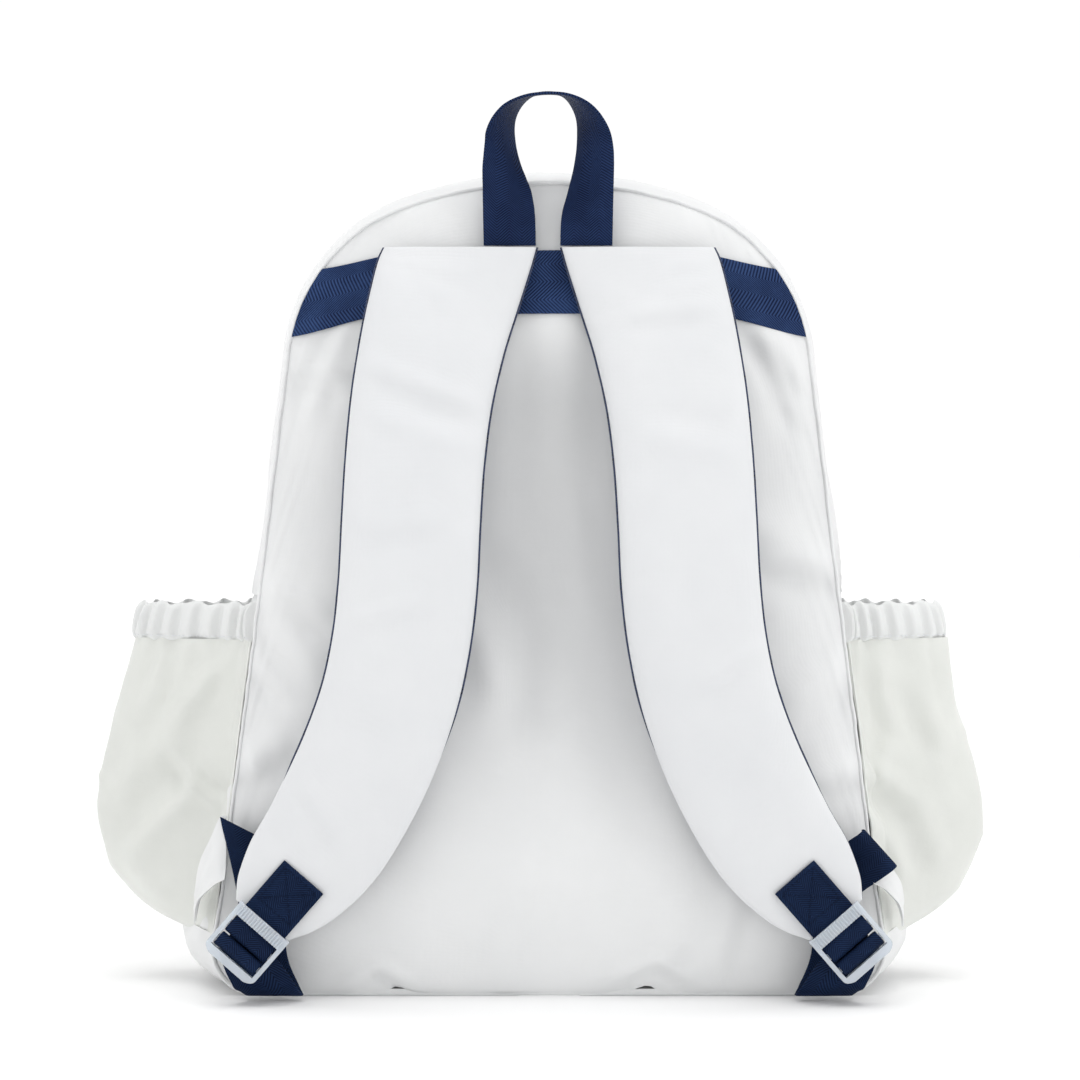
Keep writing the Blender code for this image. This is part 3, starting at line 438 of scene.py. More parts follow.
WHITE = cloth("white_nylon", (0.80, 0.806, 0.808), (0.755, 0.763, 0.766))
WHITE_PAD = cloth("white_nylon_padded", (0.745, 0.753, 0.765), (0.705, 0.715, 0.73), crinkle=0.4)
POCKET_WHITE = cloth(
    "thin_nylon", (0.775, 0.787, 0.750), (0.70, 0.714, 0.677), crinkle=0.9, see_through=0.12, roughness=0.5,
)
CASING_WHITE = cloth(
    "gathered_nylon", (0.77, 0.78, 0.775), (0.71, 0.72, 0.715), crinkle=0.8, see_through=0.1, roughness=0.5,
)
LINING = cloth("lining_cloth", (0.62, 0.64, 0.67), (0.55, 0.57, 0.61), crinkle=0.7)
NAVY = webbing("navy_webbing", (0.020, 0.041, 0.118), (0.002, 0.005, 0.022), rib=6.4 * MM, pitch=1.5 * MM)
# The same navy webbing in a darker copy: painted shade for the tabs and the adjuster webbing low by the floor.
NAVY_PAINTED_SHADE = webbing("navy_webbing_painted_shade", (0.012, 0.028, 0.078), (0.0015, 0.004, 0.016), rib=6.4 * MM, pitch=1.3 * MM)
NAVY_BAND = webbing("navy_band_webbing", (0.038, 0.075, 0.195), (0.003, 0.007, 0.030), rib=9.3 * MM, pitch=1.7 * MM)
NAVY_BINDING = webbing("navy_binding", (0.017, 0.032, 0.09), (0.004, 0.008, 0.026), rib=2 * MM, pitch=1.3 * MM)
NAVY_MESH = air_mesh("navy_air_mesh", (0.022, 0.034, 0.085), (0.004, 0.006, 0.018))
NAVY_THREAD = webbing("navy_thread", (0.009, 0.018, 0.052), (0.003, 0.007, 0.024), pitch=0.6 * MM)
WHITE_THREAD = plastic("white_thread", (0.8, 0.81, 0.83), (0.72, 0.735, 0.76), roughness=0.5)
TAPE = cloth("zip_tape", (0.84, 0.85, 0.87), (0.78, 0.79, 0.82), thread=0.9 * MM, crinkle=0.2)
COIL = plastic("zip_coil", (0.85, 0.86, 0.88), (0.78, 0.8, 0.83), roughness=0.35)
CLEAR = plastic("clear_blue_plastic", (0.80, 0.855, 0.92), (0.75, 0.81, 0.885), clear=0.42, roughness=0.16, grain=0.0)
NICKEL = metal("nickel_plate", (0.78, 0.78, 0.79), (0.6, 0.6, 0.61))
BOARD = plastic("base_board_plastic", (0.62, 0.63, 0.65), (0.55, 0.56, 0.58), roughness=0.5)


# ---------------------------------------------------------------- mesh helpers

def object_from(name, bm, material, body=None, sharp=50):
    mesh = bpy.data.meshes.new(name)
    bm.to_mesh(mesh)
    bm.free()
    made = bpy.data.objects.new(name, mesh)
    bpy.context.scene.collection.objects.link(made)
    mesh.materials.append(material)
    mesh.shade_smooth()
    mesh.set_sharp_from_angle(angle=radians(sharp))
    if body:
        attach(made, body)
    return made


def weld(bm, distance=0.002 * MM):
    bmesh.ops.remove_doubles(bm, verts=bm.verts, dist=distance)
    bmesh.ops.recalc_face_normals(bm, faces=bm.faces)


def add_grid(bm, rows, around=False, along=False, widths=None):
    """Faces between rows of points. UVs are metres along and across when widths are given."""
    layer = bm.loops.layers.uv.verify() if widths else None
    loops = [[bm.verts.new(p) for p in row] for row in rows]
    lengths = [0.0]
    for a, b in zip(rows, rows[1:]):
        middle = len(a) // 2
        lengths.append(lengths[-1] + (Vector(b[middle]) - Vector(a[middle])).length)
    pairs = list(range(len(rows) - 1)) + ([len(rows) - 1] if along else [])
    for r in pairs:
        low, high = loops[r], loops[(r + 1) % len(rows)]
        for i in range(len(low) - (0 if around else 1)):
            j = (i + 1) % len(low)
            face = bm.faces.new((low[i], low[j], high[j], high[i]))
            if layer:
                after = lengths[r + 1] if r + 1 < len(lengths) else lengths[r] + 1 * MM
                next_width = widths[j] if j else widths[i]
                for loop, uv in zip(
                    face.loops,
                    ((widths[i], lengths[r]), (next_width, lengths[r]), (next_width, after), (widths[i], after)),
                ):
                    loop[layer].uv = uv
    return loops


def tube_object(name, rings, material, body=None, widths=None, along=False, sharp=50):
    """A closed body from rings, capped at both ends."""
    bm = bmesh.new()
    loops = add_grid(bm, rings, around=True, along=along, widths=widths)
    if not along:
        bm.faces.new(loops[0])
        bm.faces.new(loops[-1])
    bmesh.ops.recalc_face_normals(bm, faces=bm.faces)
    return object_from(name, bm, material, body, sharp)


def close_sheet(bm, front, back, shortest=-1.0):
    """The back of a sheet and the strip round its rim, which leaves out edges up to the shortest length."""
    for a, b in zip(back, back[1:]):
        for i in range(len(a) - 1):
            bm.faces.new((a[i], b[i], b[i + 1], a[i + 1]))
    edges = [(front[0], back[0]), (front[-1], back[-1])]
    edges += [([row[k] for row in front], [row[k] for row in back]) for k in (0, -1)]
    for line, under in edges:
        for i in range(len(line) - 1):
            if (line[i].co - line[i + 1].co).length > shortest:
                bm.faces.new((line[i], line[i + 1], under[i + 1], under[i]))


def shell_object(name, rows, thick, material, body=None, sharp=50):
    """An open sheet of cloth given real thickness. thick is measured against the way its rows' normals point."""
    bm = bmesh.new()
    front = add_grid(bm, rows)
    bm.normal_update()
    back = [[bm.verts.new(v.co - v.normal * thick) for v in row] for row in front]
    close_sheet(bm, front, back)
    bmesh.ops.recalc_face_normals(bm, faces=bm.faces)
    return object_from(name, bm, material, body, sharp)


def pillow_object(name, rows, back_plane, material, body=None):
    """A crowned face over a flat back at y = back_plane, joined round the rim."""
    bm = bmesh.new()
    front = add_grid(bm, rows)
    back = [[bm.verts.new((v.co.x, back_plane, v.co.z)) for v in row] for row in front]
    close_sheet(bm, front, back, shortest=1e-6)
    weld(bm)
    return object_from(name, bm, material, body)


# Round a webbing's section: shares of its half width and of its half thickness.
WEB_PROFILE = [(-1, -0.35), (-0.97, -0.8), (-0.9, -1), (0.9, -1), (0.97, -0.8), (1, -0.35)]
WEB_PROFILE += [(1, 0.35), (0.97, 0.8), (0.9, 1), (0.45, 1.06), (0, 1.08)]
WEB_PROFILE += [(-0.45, 1.06), (-0.9, 1), (-0.97, 0.8), (-1, 0.35)]


def web_object(name, centres, across, width, thick, material, body=None, count=60, bow=0.0):
    """Woven webbing along a smooth path, with woven edges; across gives its width direction at each centre."""
    line = spline(centres, count)
    turns = spline(across, count)
    sizes = [width] * count
    if isinstance(width, list):
        sizes = [p[0] for p in spline([(w, 0, 0) for w in width], count)]
    rings = []
    for k in range(count):
        ahead, behind = line[min(k + 1, count - 1)], line[max(k - 1, 0)]
        w = turns[k].normalized()
        n = (ahead - behind).cross(w).normalized()
        half = sizes[k] / 2 * (1 + 0.006 * wave(k * 0.7, 3.1))
        ring = []
        for a, b in WEB_PROFILE:
            curl = bow * (1 - a * a)
            place = line[k] + w * a * half + n * (b * thick / 2 + curl)
            place.z = max(place.z, LOWEST_WEB)
            ring.append(place)
        rings.append(ring)
    widths = [a * sizes[0] / 2 for a, _ in WEB_PROFILE]
    return tube_object(name, rings, material, body, widths=widths, sharp=60)


def stitches(name, lines, material, body, length=2.7 * MM, gap=1.1 * MM, radius=0.3 * MM):
    """Rows of thread: one small capsule for each stitch. Each line is a list of (point, surface normal)."""
    bm = bmesh.new()
    sides = 5
    turns = [2 * pi * k / sides for k in range(sides)]
    for line in lines:
        travelled, target = 0.0, gap
        for (a, na), (b, nb) in zip(line, line[1:]):
            step = (b - a).length
            while step > 1e-9 and travelled + step >= target + length / 2:
                t = (target + length / 2 - travelled) / step
                centre, normal = a.lerp(b, t), na.lerp(nb, t).normalized()
                along = (b - a).normalized()
                side = along.cross(normal)
                rings = []
                for at, size, sink in ((-0.5, 0.45, 0.5), (-0.3, 1, 0), (0.3, 1, 0), (0.5, 0.45, 0.5)):
                    middle = centre + along * at * length + normal * radius * (0.25 - sink)
                    rings.append([
                        bm.verts.new(middle + (side * cos(turn) + normal * sin(turn)) * radius * size)
                        for turn in turns
                    ])
                for low, high in zip(rings, rings[1:]):
                    for k in range(sides):
                        bm.faces.new((low[k], low[(k + 1) % sides], high[(k + 1) % sides], high[k]))
                bm.faces.new(rings[0])
                bm.faces.new(rings[-1])
                target += length + gap
            travelled += step
    bmesh.ops.recalc_face_normals(bm, faces=bm.faces)
    return object_from(name, bm, material, body, sharp=80)


def frange(start, end, count):
    return [start + (end - start) * k / (count - 1) for k in range(count)]


# ---------------------------------------------------------------- the body's cloth

def seam_pucker(distance, along, size):
    """Cloth gathered by a seam: small folds that die out a little way in from it."""
    folds = wave(along / (11 * MM), 0.3, 7.7) + 0.6 * wave(along / (5.5 * MM), 4.2, 1.1)
    return size * folds * exp(-max(0.0, distance) / (9 * MM))


def base_lift(x):
    """How far the back panel's lower edge is lifted off the floor by its puckers."""
    lift = 4.6 * bell(x, 55 * MM, 8 * MM) + 4.2 * bell(x, -86 * MM, 7 * MM)
    return (0.2 + lift + 0.25 * (1 + wave(x / (19 * MM), 6.0))) * MM


BACK_CREASES = (
    ((30, 8), (55, 21), 4, 2.6), ((55, 21), (74, 9), 4, 2.4), ((-104, 8), (-88, 17), 4, 2.0),
    ((-88, 17), (-72, 7), 4, 1.8), ((-146, 206), (-118, 168), 9, 2.4), ((-36, 232), (-6, 186), 13, -3.4),
    ((-6, 186), (-14, 140), 12, -2.2), ((-44, 196), (-22, 158), 10, 2.4), ((14, 250), (22, 190), 9, 1.8),
    ((-132, 330), (-104, 318), 7, 2.2), ((112, 342), (134, 316), 7, 2.2), ((-158, 120), (-136, 134), 8, 2.0),
    ((100, 244), (140, 226), 10, 2.0), ((118, 150), (158, 176), 9, 2.2), ((-163, 217), (-112, 199), 7, 2.4),
    ((-162, 184), (-132, 158), 6, 2.0), ((-172, 140), (-146, 114), 6, 2.0), ((104, 225), (158, 222), 7, 2.2),
    ((134, 110), (170, 124), 6, 2.4), ((-104, 345), (-122, 300), 5, 1.3), ((106, 345), (130, 296), 5, 1.4),
    ((-30, 22), (-12, 60), 6, 1.2), ((46, 8), (68, 30), 5, 1.8), ((84, 16), (96, 58), 6, 1.2),
)


def back_folds(x, z):
    """How far the back panel's cloth stands out from its plain pillow shape."""
    out = 1.6 * MM * wave(x / (70 * MM), z / (95 * MM), 2.0) + 0.8 * MM * wave(x / (26 * MM), z / (40 * MM), 5.0)
    out += creases(x, z, BACK_CREASES)
    out -= 2.2 * MM * bell(x, -13 * MM, 11 * MM) * smooth(z, 60 * MM, 200 * MM)
    out -= 1.6 * MM * bell(x, 21 * MM, 9 * MM) * smooth(z, 90 * MM, 240 * MM)
    edge = (half_width(z) - abs(x)) * 0.95
    out += seam_pucker(edge, z + 3 * abs(x), 0.9 * MM)
    out += seam_pucker(z, x, 0.8 * MM)
    return out * smooth(min(edge, z + 2 * MM), 0, 8 * MM)


def back_surface(x, z):
    return back_y(x, z) - back_folds(x, z)


def band_droop(share):
    return 8.6 * MM * smooth(abs(share), 0.6, 1.06)


def panel_rows(z_from, z_to, surface, rows, columns, dip_low=0.0, dip_high=0.0, droop=0.0):
    """Rows of a panel between two heights; dips round its edge over into the seams."""
    made = []
    for r in range(rows):
        row = []
        for k in range(columns):
            share = sin((k / (columns - 1) - 0.5) * pi * 0.94) / sin(0.47 * pi)
            sag = band_droop(share) if droop else 0.0
            low, high = (z_from - sag, z_to) if droop < 0 else (z_from, z_to - sag)
            if z_from < 5 * MM:
                low = base_lift(share * BASE_HALF)
            z = low + (high - low) * r / (rows - 1)
            x = share * half_width(min(z, SEAM_TOP - 0.02 * MM))
            y = surface(x, z)
            y += dip_low * exp(-((z - low) / (3.0 * MM)))
            y += dip_high * exp(-((high - z) / (2.2 * MM)))
            row.append(Vector((x, y, z)))
        made.append(row)
    return made


def make_back():
    rows = panel_rows(
        0.6 * MM, BAND_HIGH_Z - 6 * MM, back_surface, 170, 130, dip_low=1.4 * MM, dip_high=2.4 * MM, droop=1,
    )
    rows = [[Vector((p.x, min(p.y, BACK_INNER_Y - 2 * MM), p.z)) for p in row] for row in rows]
    piece = pillow_object("back_cushion", rows, BACK_INNER_Y, WHITE, "bag")
    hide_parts("back_panel")
    rows = panel_rows(BAND_HIGH_Z - 5.4 * MM, SEAM_TOP - 0.3 * MM, back_surface, 40, 100, dip_low=2.0 * MM, droop=-1)
    rows = [[Vector((p.x, min(p.y, BACK_INNER_Y - 2 * MM), p.z)) for p in row] for row in rows]
    piece = pillow_object("back_yoke_cloth", rows, BACK_INNER_Y, WHITE, "bag")
    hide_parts("back_yoke")


def band_height(share, top):
    """The band's edges: level over the middle, drooping a little into the side seams."""
    return BAND_HIGH_Z - band_droop(share) if top else BAND_LOW_Z - 1.25 * band_droop(share)


def make_band():
    columns, rings = 97, []
    for k in range(columns):
        share = -1 + 2 * k / (columns - 1)
        low, high = band_height(share, False), band_height(share, True)
        ring = []
        for a, b in WEB_PROFILE:
            z = low + (high - low) * (a + 1) / 2
            x = share * (half_width(z) - 0.2 * MM)
            y = back_y(x, z) - back_folds(x, z) * 0.5 - (0.95 + 0.7 * b) * MM
            y -= 0.25 * MM * wave(x / (15 * MM), z / (30 * MM), 9.0)
            ring.append(Vector((x, y, z)))
        rings.append(ring)
    widths = [a * (BAND_HIGH_Z - BAND_LOW_Z) / 2 for a, _ in WEB_PROFILE]
    piece = tube_object("yoke_webbing", rings, NAVY_BAND, "bag", widths=widths, sharp=60)
    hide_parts("yoke_band")


def gusset_wrinkle(s, y, mirrored):
    """Folds in the gusset cloth, deeper half way between its two seams and low on the sides."""
    seed = 11.0 if mirrored else 23.0
    across = (y - BACK_SEAM_Y) / (FRONT_SEAM_Y - BACK_SEAM_Y)
    inside = sin(pi * min(1.0, max(0.0, across))) ** 0.6
    point, _ = outline_at(s)
    slack = 0.25 + 0.75 * (1 - smooth(point.y, 190 * MM, 330 * MM))
    slant = s + 0.8 * y
    ridges = 1 - min(1.0, abs(wave(slant / (62 * MM), (y - 0.4 * s) / (150 * MM), seed)) * 2.6)
    out = 2.4 * MM * slack * ridges**2 * inside
    out += 1.8 * MM * slack * wave(s / (75 * MM), y / (60 * MM), seed + 3) * inside
    out += seam_pucker(y - BACK_SEAM_Y, s, 0.5 * MM) + seam_pucker(ZIP_REAR_Y - y, s * 1.1, 0.5 * MM)
    flat = smooth(point.y, 0.5 * MM, 40 * MM)
    corner = bell(point.y, 22 * MM, 20 * MM) * smooth(point.y, 0.5 * MM, 9 * MM) * inside
    corner *= (10 if mirrored else 6) * MM * (1 + 0.18 * wave(y / (16 * MM), s / (18 * MM), seed + 6))
    return (out - 1.2 * MM * slack) * flat + corner


def gusset_rows(start, end, step, mirrored, y_low, y_high, columns, roll=1.6 * MM, swell=1.0):
    count = max(3, int((end - start) / step) + 1)
    rows = []
    for k in range(count):
        s = start + (end - start) * k / (count - 1)
        point, normal = outline_at(s)
        sign = -1 if mirrored else 1
        row = []
        for c in range(columns):
            y = y_low + (y_high - y_low) * (0.5 - 0.5 * cos(pi * c / (columns - 1)))
            reach = gusset_offset(point.y, normal.y, y) * swell + gusset_wrinkle(s, y, mirrored)
            edge = min(s - start, end - s)
            if roll:
                reach -= roll * exp(-edge / (1.6 * MM))
            place = point + normal * reach
            row.append(Vector((sign * place.x, y, max(0.15 * MM, place.y))))
        rows.append(row)
    return rows


def make_gusset():
    low_y, high_y = BACK_SEAM_Y + 0.6 * MM, ZIP_REAR_Y - 0.2 * MM
    join, corner = length_at(206 * MM), length_at(CORNER_END.y + 2 * MM)
    left = gusset_rows(0, corner, GUSSET_STEP, True, low_y, high_y, 26, roll=0)
    right = gusset_rows(0, corner, GUSSET_STEP, False, low_y, high_y, 26, roll=0)
    piece = shell_object("base_cloth", left[::-1] + right[1:], GUSSET_CLOTH, WHITE, "bag")
    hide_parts("base_panel")
    for side, word in ((-1, "left"), (1, "right")):
        rows = gusset_rows(corner, join, GUSSET_STEP, side < 0, low_y, high_y, 30)
        if side < 0:
            rows = rows[::-1]
        piece = shell_object(f"side_cloth_{word}", rows, GUSSET_CLOTH, WHITE, "bag")
        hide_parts(f"side_panel_{word}")
    left = gusset_rows(join, HALF_LENGTH, GUSSET_STEP, True, low_y, high_y, 30, roll=0)
    right = gusset_rows(join, HALF_LENGTH, GUSSET_STEP, False, low_y, high_y, 30, roll=0)
    piece = shell_object("top_cloth", right + left[-2::-1], GUSSET_CLOTH, WHITE, "bag")
    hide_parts("top_gusset")


def make_seam_roll():
    """The turned seam that stands up round the edge of the back panel, from corner to corner over the top."""
    path = []
    for mirrored in (False, True):
        side = []
        for s in frange(16 * MM, HALF_LENGTH, 260):
            point, normal = outline_at(s)
            reach = 0.5 * MM + 0.3 * MM * wave(s / (13 * MM), 41.0 + mirrored)
            reach += gusset_wrinkle(s, BACK_SEAM_Y + 2 * MM, mirrored)
            place = point + normal * reach
            sign = -1 if mirrored else 1
            out = Vector((sign * normal.x, 0, normal.y))
            side.append((Vector((sign * place.x, BACK_SEAM_Y + 0.2 * MM, place.y)), out))
        path += side if not mirrored else side[-2::-1]
    rings = []
    for place, out in path:
        ring = []
        for j in range(10):
            angle = 2 * pi * j / 10
            point = place + out * cos(angle) * 1.15 * MM + Vector((0, sin(angle) * 1.5 * MM, 0))
            point.z = max(point.z, 0.25 * MM)
            ring.append(point)
        rings.append(ring)
    tube_object("back_seam_roll", rings, WHITE, "bag", sharp=60)


def on_gusset(s, y, mirrored, lift):
    """(place, outward direction) at this depth on the gusset's plain surface, lifted off it."""
    point, normal = outline_at(s)
    sign = -1 if mirrored else 1
    place = point + normal * (gusset_offset(point.y, normal.y, y) + lift)
    return Vector((sign * place.x, y, place.y)), Vector((sign * normal.x, 0, normal.y))


def seam_line(y, start, end, mirrored, raised, step=3 * MM):
    count = int((end - start) / step)
    stops = [start + (end - start) * k / count for k in range(count + 1)]
    return [on_gusset(s, y, mirrored, gusset_wrinkle(s, y, mirrored) + raised) for s in stops]


def make_zip():
    """Main zip: a tape on the bag and one on the door, each with a row of coil teeth along its edge."""
    first = length_at(DOOR_FOLD_Z) + 1 * MM
    for name, y_low, y_high, body, node in (
        ("zip_tape_rear", ZIP_REAR_Y - 1.5 * MM, 50.7 * MM, "bag", "main_zip_rear"),
        ("zip_tape_front", 51.3 * MM, ZIP_FRONT_Y + 1.5 * MM, "door", "main_zip_front"),
    ):
        rows = []
        stops = frange(first, HALF_LENGTH, 110)
        for s, mirrored in [(s, False) for s in stops] + [(s, True) for s in stops[-2::-1]]:
            rows.append([on_gusset(s, y, mirrored, 0.5 * MM)[0] for y in frange(y_low, y_high, 5)])
        piece = shell_object(name, rows, 1.4 * MM, TAPE, body)
        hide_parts(node)
        edge = 50.2 * MM if body == "bag" else 51.8 * MM
        bm = bmesh.new()
        pitch = 2.4 * MM
        teeth = int((HALF_LENGTH - first) / pitch)
        lean = 0.5 * MM if body == "bag" else -0.5 * MM
        for mirrored in (False, True):
            for k in range(teeth):
                s = first + (k + (0.5 if body == "door" else 0.0)) * pitch
                centre, out = on_gusset(s, edge, mirrored, 0.9 * MM)
                along = Vector((-out.z, 0, out.x)) * (-1 if mirrored else 1)
                corners = []
                for du in (-1, 1):
                    for dy in (-1, 1):
                        for dn in (-1, 1):
                            tip = 0.45 if dy * lean > 0 else 0.75
                            shift = along * du * tip * 0.85 * MM + Vector((0, dy * 1.15 * MM, 0))
                            corners.append(bm.verts.new(centre + shift + out * dn * 0.55 * MM))
                for a, b, c, d in ((0, 1, 3, 2), (4, 6, 7, 5), (0, 4, 5, 1), (2, 3, 7, 6), (0, 2, 6, 4), (1, 5, 7, 3)):
                    bm.faces.new([corners[i] for i in (a, b, c, d)])
        bmesh.ops.recalc_face_normals(bm, faces=bm.faces)
        object_from(f"{name}_teeth", bm, COIL, body, sharp=40)
    lines = [seam_line(ZIP_REAR_Y - 3.5 * MM, first, HALF_LENGTH, m, 0.1 * MM) for m in (False, True)]
    stitches("gusset_stitching", lines, WHITE_THREAD, "bag")


# Round a zip pull's section: a share of its half width, and a height in millimetres.
PULL_SECTION = [(-1, 0.4), (-1, -0.4), (-0.8, -0.75), (-0.62, -0.5), (0.62, -0.5), (0.8, -0.75), (1, -0.4), (1, 0.4)]
PULL_SECTION += [(0.8, 0.75), (0.62, 0.5), (-0.62, 0.5), (-0.8, 0.75)]


def pull_tab(name, pivot, along, across, body, node):
    """A cast zip pull with a waist and a raised border."""
    face = along.cross(across)
    shape = (
        (-1.9, 0.6), (-1.7, 1.6), (-1.0, 2.4), (0, 2.8), (2, 3.0), (5, 2.5), (9, 2.1), (13, 2.9), (16, 3.7), (22, 3.95),
        (28, 4.0), (30.4, 3.6), (31.9, 2.6), (32.5, 1.2),
    )
    rings = []
    for at, half in shape:
        centre = pivot + along * at * MM
        rings.append([centre + across * a * half * MM + face * b * MM for a, b in PULL_SECTION])
    piece = tube_object(name, rings, NICKEL, body, sharp=30)
    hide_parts(node)


def slider_body(name, centre, along, across, up, body, node):
    """A coil slider: a waisted body under a humped bridge."""
    rings = []
    for at, half, high in (
        (-6.5, 2.2, 1.3), (-6.1, 2.9, 1.9), (-4.5, 3.7, 2.2), (-1, 3.5, 2.35),
        (2, 3.8, 2.35), (4.8, 4.1, 2.2), (6.1, 3.4, 1.8), (6.5, 2.6, 1.2),
    ):
        middle = centre + along * at * MM
        ring = []
        for a, b in ((-1, 0), (-1.05, 0.4), (-0.92, 0.85), (-0.6, 1), (0.6, 1), (0.92, 0.85), (1.05, 0.4), (1, 0)):
            ring.append(middle + across * a * half * MM + up * b * high * MM)
        rings.append(ring)
    piece = tube_object(name, rings, NICKEL, body, sharp=35)
    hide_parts(node)
    rings, square = [], ((-1, -1), (1, -1), (1, 1), (-1, 1))
    for k in range(13):
        t = k / 12
        place = centre + along * (-3.4 + 7.4 * t) * MM + up * (1.6 + 5.0 * sin(pi * t) ** 0.55) * MM
        tangent = (along * 7.4 + up * 4.6 * pi * 0.6 * cos(pi * t)).normalized()
        n = tangent.cross(across).normalized()
        rings.append([place + across * a * 1.0 * MM + n * b * 0.42 * MM for a, b in square])
    tube_object(f"{name}_bridge", rings, NICKEL, body, sharp=35)


def make_sliders():
    for side, word in ((-1, "left"), (1, "right")):
        angle = side * 8.5 * MM / TOP_RADIUS
        up = Vector((sin(angle), 0, cos(angle)))
        along = Vector((side * cos(angle), 0, -side * sin(angle)))
        across = Vector((0, 1, 0))
        offset = gusset_offset(SEAM_TOP, 1.0, ZIP_REAR_Y) + 1.0 * MM
        centre = Vector((TOP_CENTRE.x, 51 * MM, TOP_CENTRE.y)) + up * (TOP_RADIUS + offset)
        slider_body(f"slider_cast_{word}", centre, along, across, up, f"slider_{word}", f"main_zip_slider_{word}")
        pull_tab(
            f"zip_pull_{word}", centre + up * 4.8 * MM + along * 1.0 * MM, along, across,
            f"pull_{word}", f"main_zip_pull_{word}",
        )


# ---------------------------------------------------------------- the front

def front_folds(x, z):
    out = 1.2 * MM * wave(x / (60 * MM), z / (70 * MM), 31.0) + 0.6 * MM * wave(x / (24 * MM), z / (30 * MM), 35.0)
    edge = (half_width(z) - abs(x)) * 0.95
    out += seam_pucker(edge, z + 3 * abs(x), 0.8 * MM)
    return out * smooth(edge, 0, 8 * MM)


def front_surface(x, z):
    return front_y(x, z) + front_folds(x, z) * (0.25 if abs(x) < SLEEVE_HALF and z < SLEEVE_TOP_Z + 40 * MM else 1.0)


def make_front():
    fold_low, fold_high = DOOR_FOLD_Z - 0.5 * MM, DOOR_FOLD_Z + 0.6 * MM
    rows = panel_rows(0.6 * MM, fold_low, front_surface, 30, 100, dip_low=-2.0 * MM, dip_high=-1.6 * MM)
    rows = [row[::-1] for row in rows]
    piece = pillow_object("front_base_cloth", rows, ZIP_REAR_Y + 0.6 * MM, WHITE, "bag")
    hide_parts("front_lower_panel")
    rows = panel_rows(fold_high, SEAM_TOP - 0.3 * MM, front_surface, 130, 110, dip_low=-1.6 * MM)
    rows = [row[::-1] for row in rows]
    piece = pillow_object("door_cloth", rows, ZIP_FRONT_Y + 0.6 * MM, WHITE, "door")
    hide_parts("front_panel")
    line, z = [], DOOR_FOLD_Z - 4 * MM
    for k in range(120):
        x = (-1 + 2 * k / 119) * (half_width(DOOR_FOLD_Z) - 8 * MM)
        line.append((Vector((x, front_surface(x, z) + 0.1 * MM, z)), Vector((0, 1, 0))))
    stitches("fold_stitching", [line], WHITE_THREAD, "bag")


def sleeve_cloth(x, z):
    """The sleeve's outer face with soft vertical slack and gathers at its lower corners."""
    side = abs(x) / SLEEVE_HALF
    inside = max(0.0, 1 - side**6)
    out = 2.2 * MM * wave(x / (46 * MM), z / (150 * MM), 41.0) * inside
    out += 0.9 * MM * wave(x / (20 * MM), z / (60 * MM), 43.0) * inside
    low = exp(-max(0.0, z - SLEEVE_LOW_Z) / (22 * MM))
    out += 1.3 * MM * low * wave(x / (9 * MM), z / (40 * MM), 45.0) * inside
    out -= 3.0 * MM * exp(-max(0.0, SLEEVE_TOP_Z - z) / (40 * MM)) * (1 - side**2) * 0.5
    return sleeve_y(x, z) - 1.6 * MM * inside + out


def sleeve_edge(x, z):
    """The sleeve's face by its open edge, kept clear of the door."""
    return max(sleeve_cloth(x, min(z, SLEEVE_TOP_Z - 8 * MM)), front_y(x, z) + 1.8 * MM)


def sleeve_outside(x, z):
    """Where something sewn to the sleeve lies: on its cloth, or on the CAD's surface where that is further out."""
    return max(sleeve_y(x, z), sleeve_cloth(x, z))


def make_sleeve():
    rows = []
    for z in [SLEEVE_LOW_Z] + frange(SLEEVE_LOW_Z + 0.8 * MM, SLEEVE_TOP_Z - 8 * MM, 90):
        round_over = 1 - exp(-(z - SLEEVE_LOW_Z) / (6 * MM))
        share = 0.0 if z == SLEEVE_LOW_Z else 0.35 + 0.65 * round_over
        row = []
        for k in range(90):
            x = SLEEVE_HALF * -cos(pi * k / 89)
            seat = front_y(x, z) + 1.8 * MM
            row.append(Vector((x, seat + (max(sleeve_cloth(x, z), seat) - seat) * share, z)))
        rows.append(row[::-1])
    piece = shell_object("racket_sleeve_cloth", rows, 1.1 * MM, WHITE, "door")
    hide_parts("racket_sleeve")
    rings = []
    count = 120
    z_low, z_high = SLEEVE_TOP_Z - 12 * MM, SLEEVE_TOP_Z
    for k in range(count):
        x = SLEEVE_HALF * -cos(pi * k / (count - 1))
        ring = []
        for a, b in WEB_PROFILE:
            z = z_low + (z_high - z_low) * (a + 1) / 2
            ring.append(Vector((x, sleeve_edge(x, z) - 0.55 * MM + b * 1.15 * MM, z)))
        rings.append(ring)
    widths = [a * 6 * MM for a, _ in WEB_PROFILE]
    piece = tube_object("sleeve_edge_binding", rings, NAVY_BINDING, "door", widths=widths, sharp=60)
    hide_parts("sleeve_binding")
    line, z = [], z_low + 1.8 * MM
    for k in range(160):
        x = SLEEVE_HALF * 0.99 * -cos(pi * k / 159)
        line.append((Vector((x, sleeve_edge(x, z) + 0.72 * MM, z)), Vector((0, 1, 0))))
    stitches("binding_stitching", [line], NAVY_THREAD, "door")
    lines = []
    for sign in (-1, 1):
        line = []
        for z in frange(SLEEVE_LOW_Z + 3 * MM, SLEEVE_TOP_Z - 14 * MM, 90):
            x = sign * (SLEEVE_HALF - 2.2 * MM)
            line.append((Vector((x, sleeve_edge(x, z) + 0.2 * MM, z)), Vector((sign * 0.5, 0.8, 0))))
        lines.append(line)
    stitches("sleeve_stitching", lines, WHITE_THREAD, "door")


def patch_puff(x, z, edge):
    """How far the front pocket's cloth stands off the sleeve, this far in from its own edge."""
    return 1.3 * MM + 2.2 * MM * smooth(edge, 0, 6 * MM) + 0.6 * MM * wave(x / (22 * MM), z / (26 * MM), 51.0)


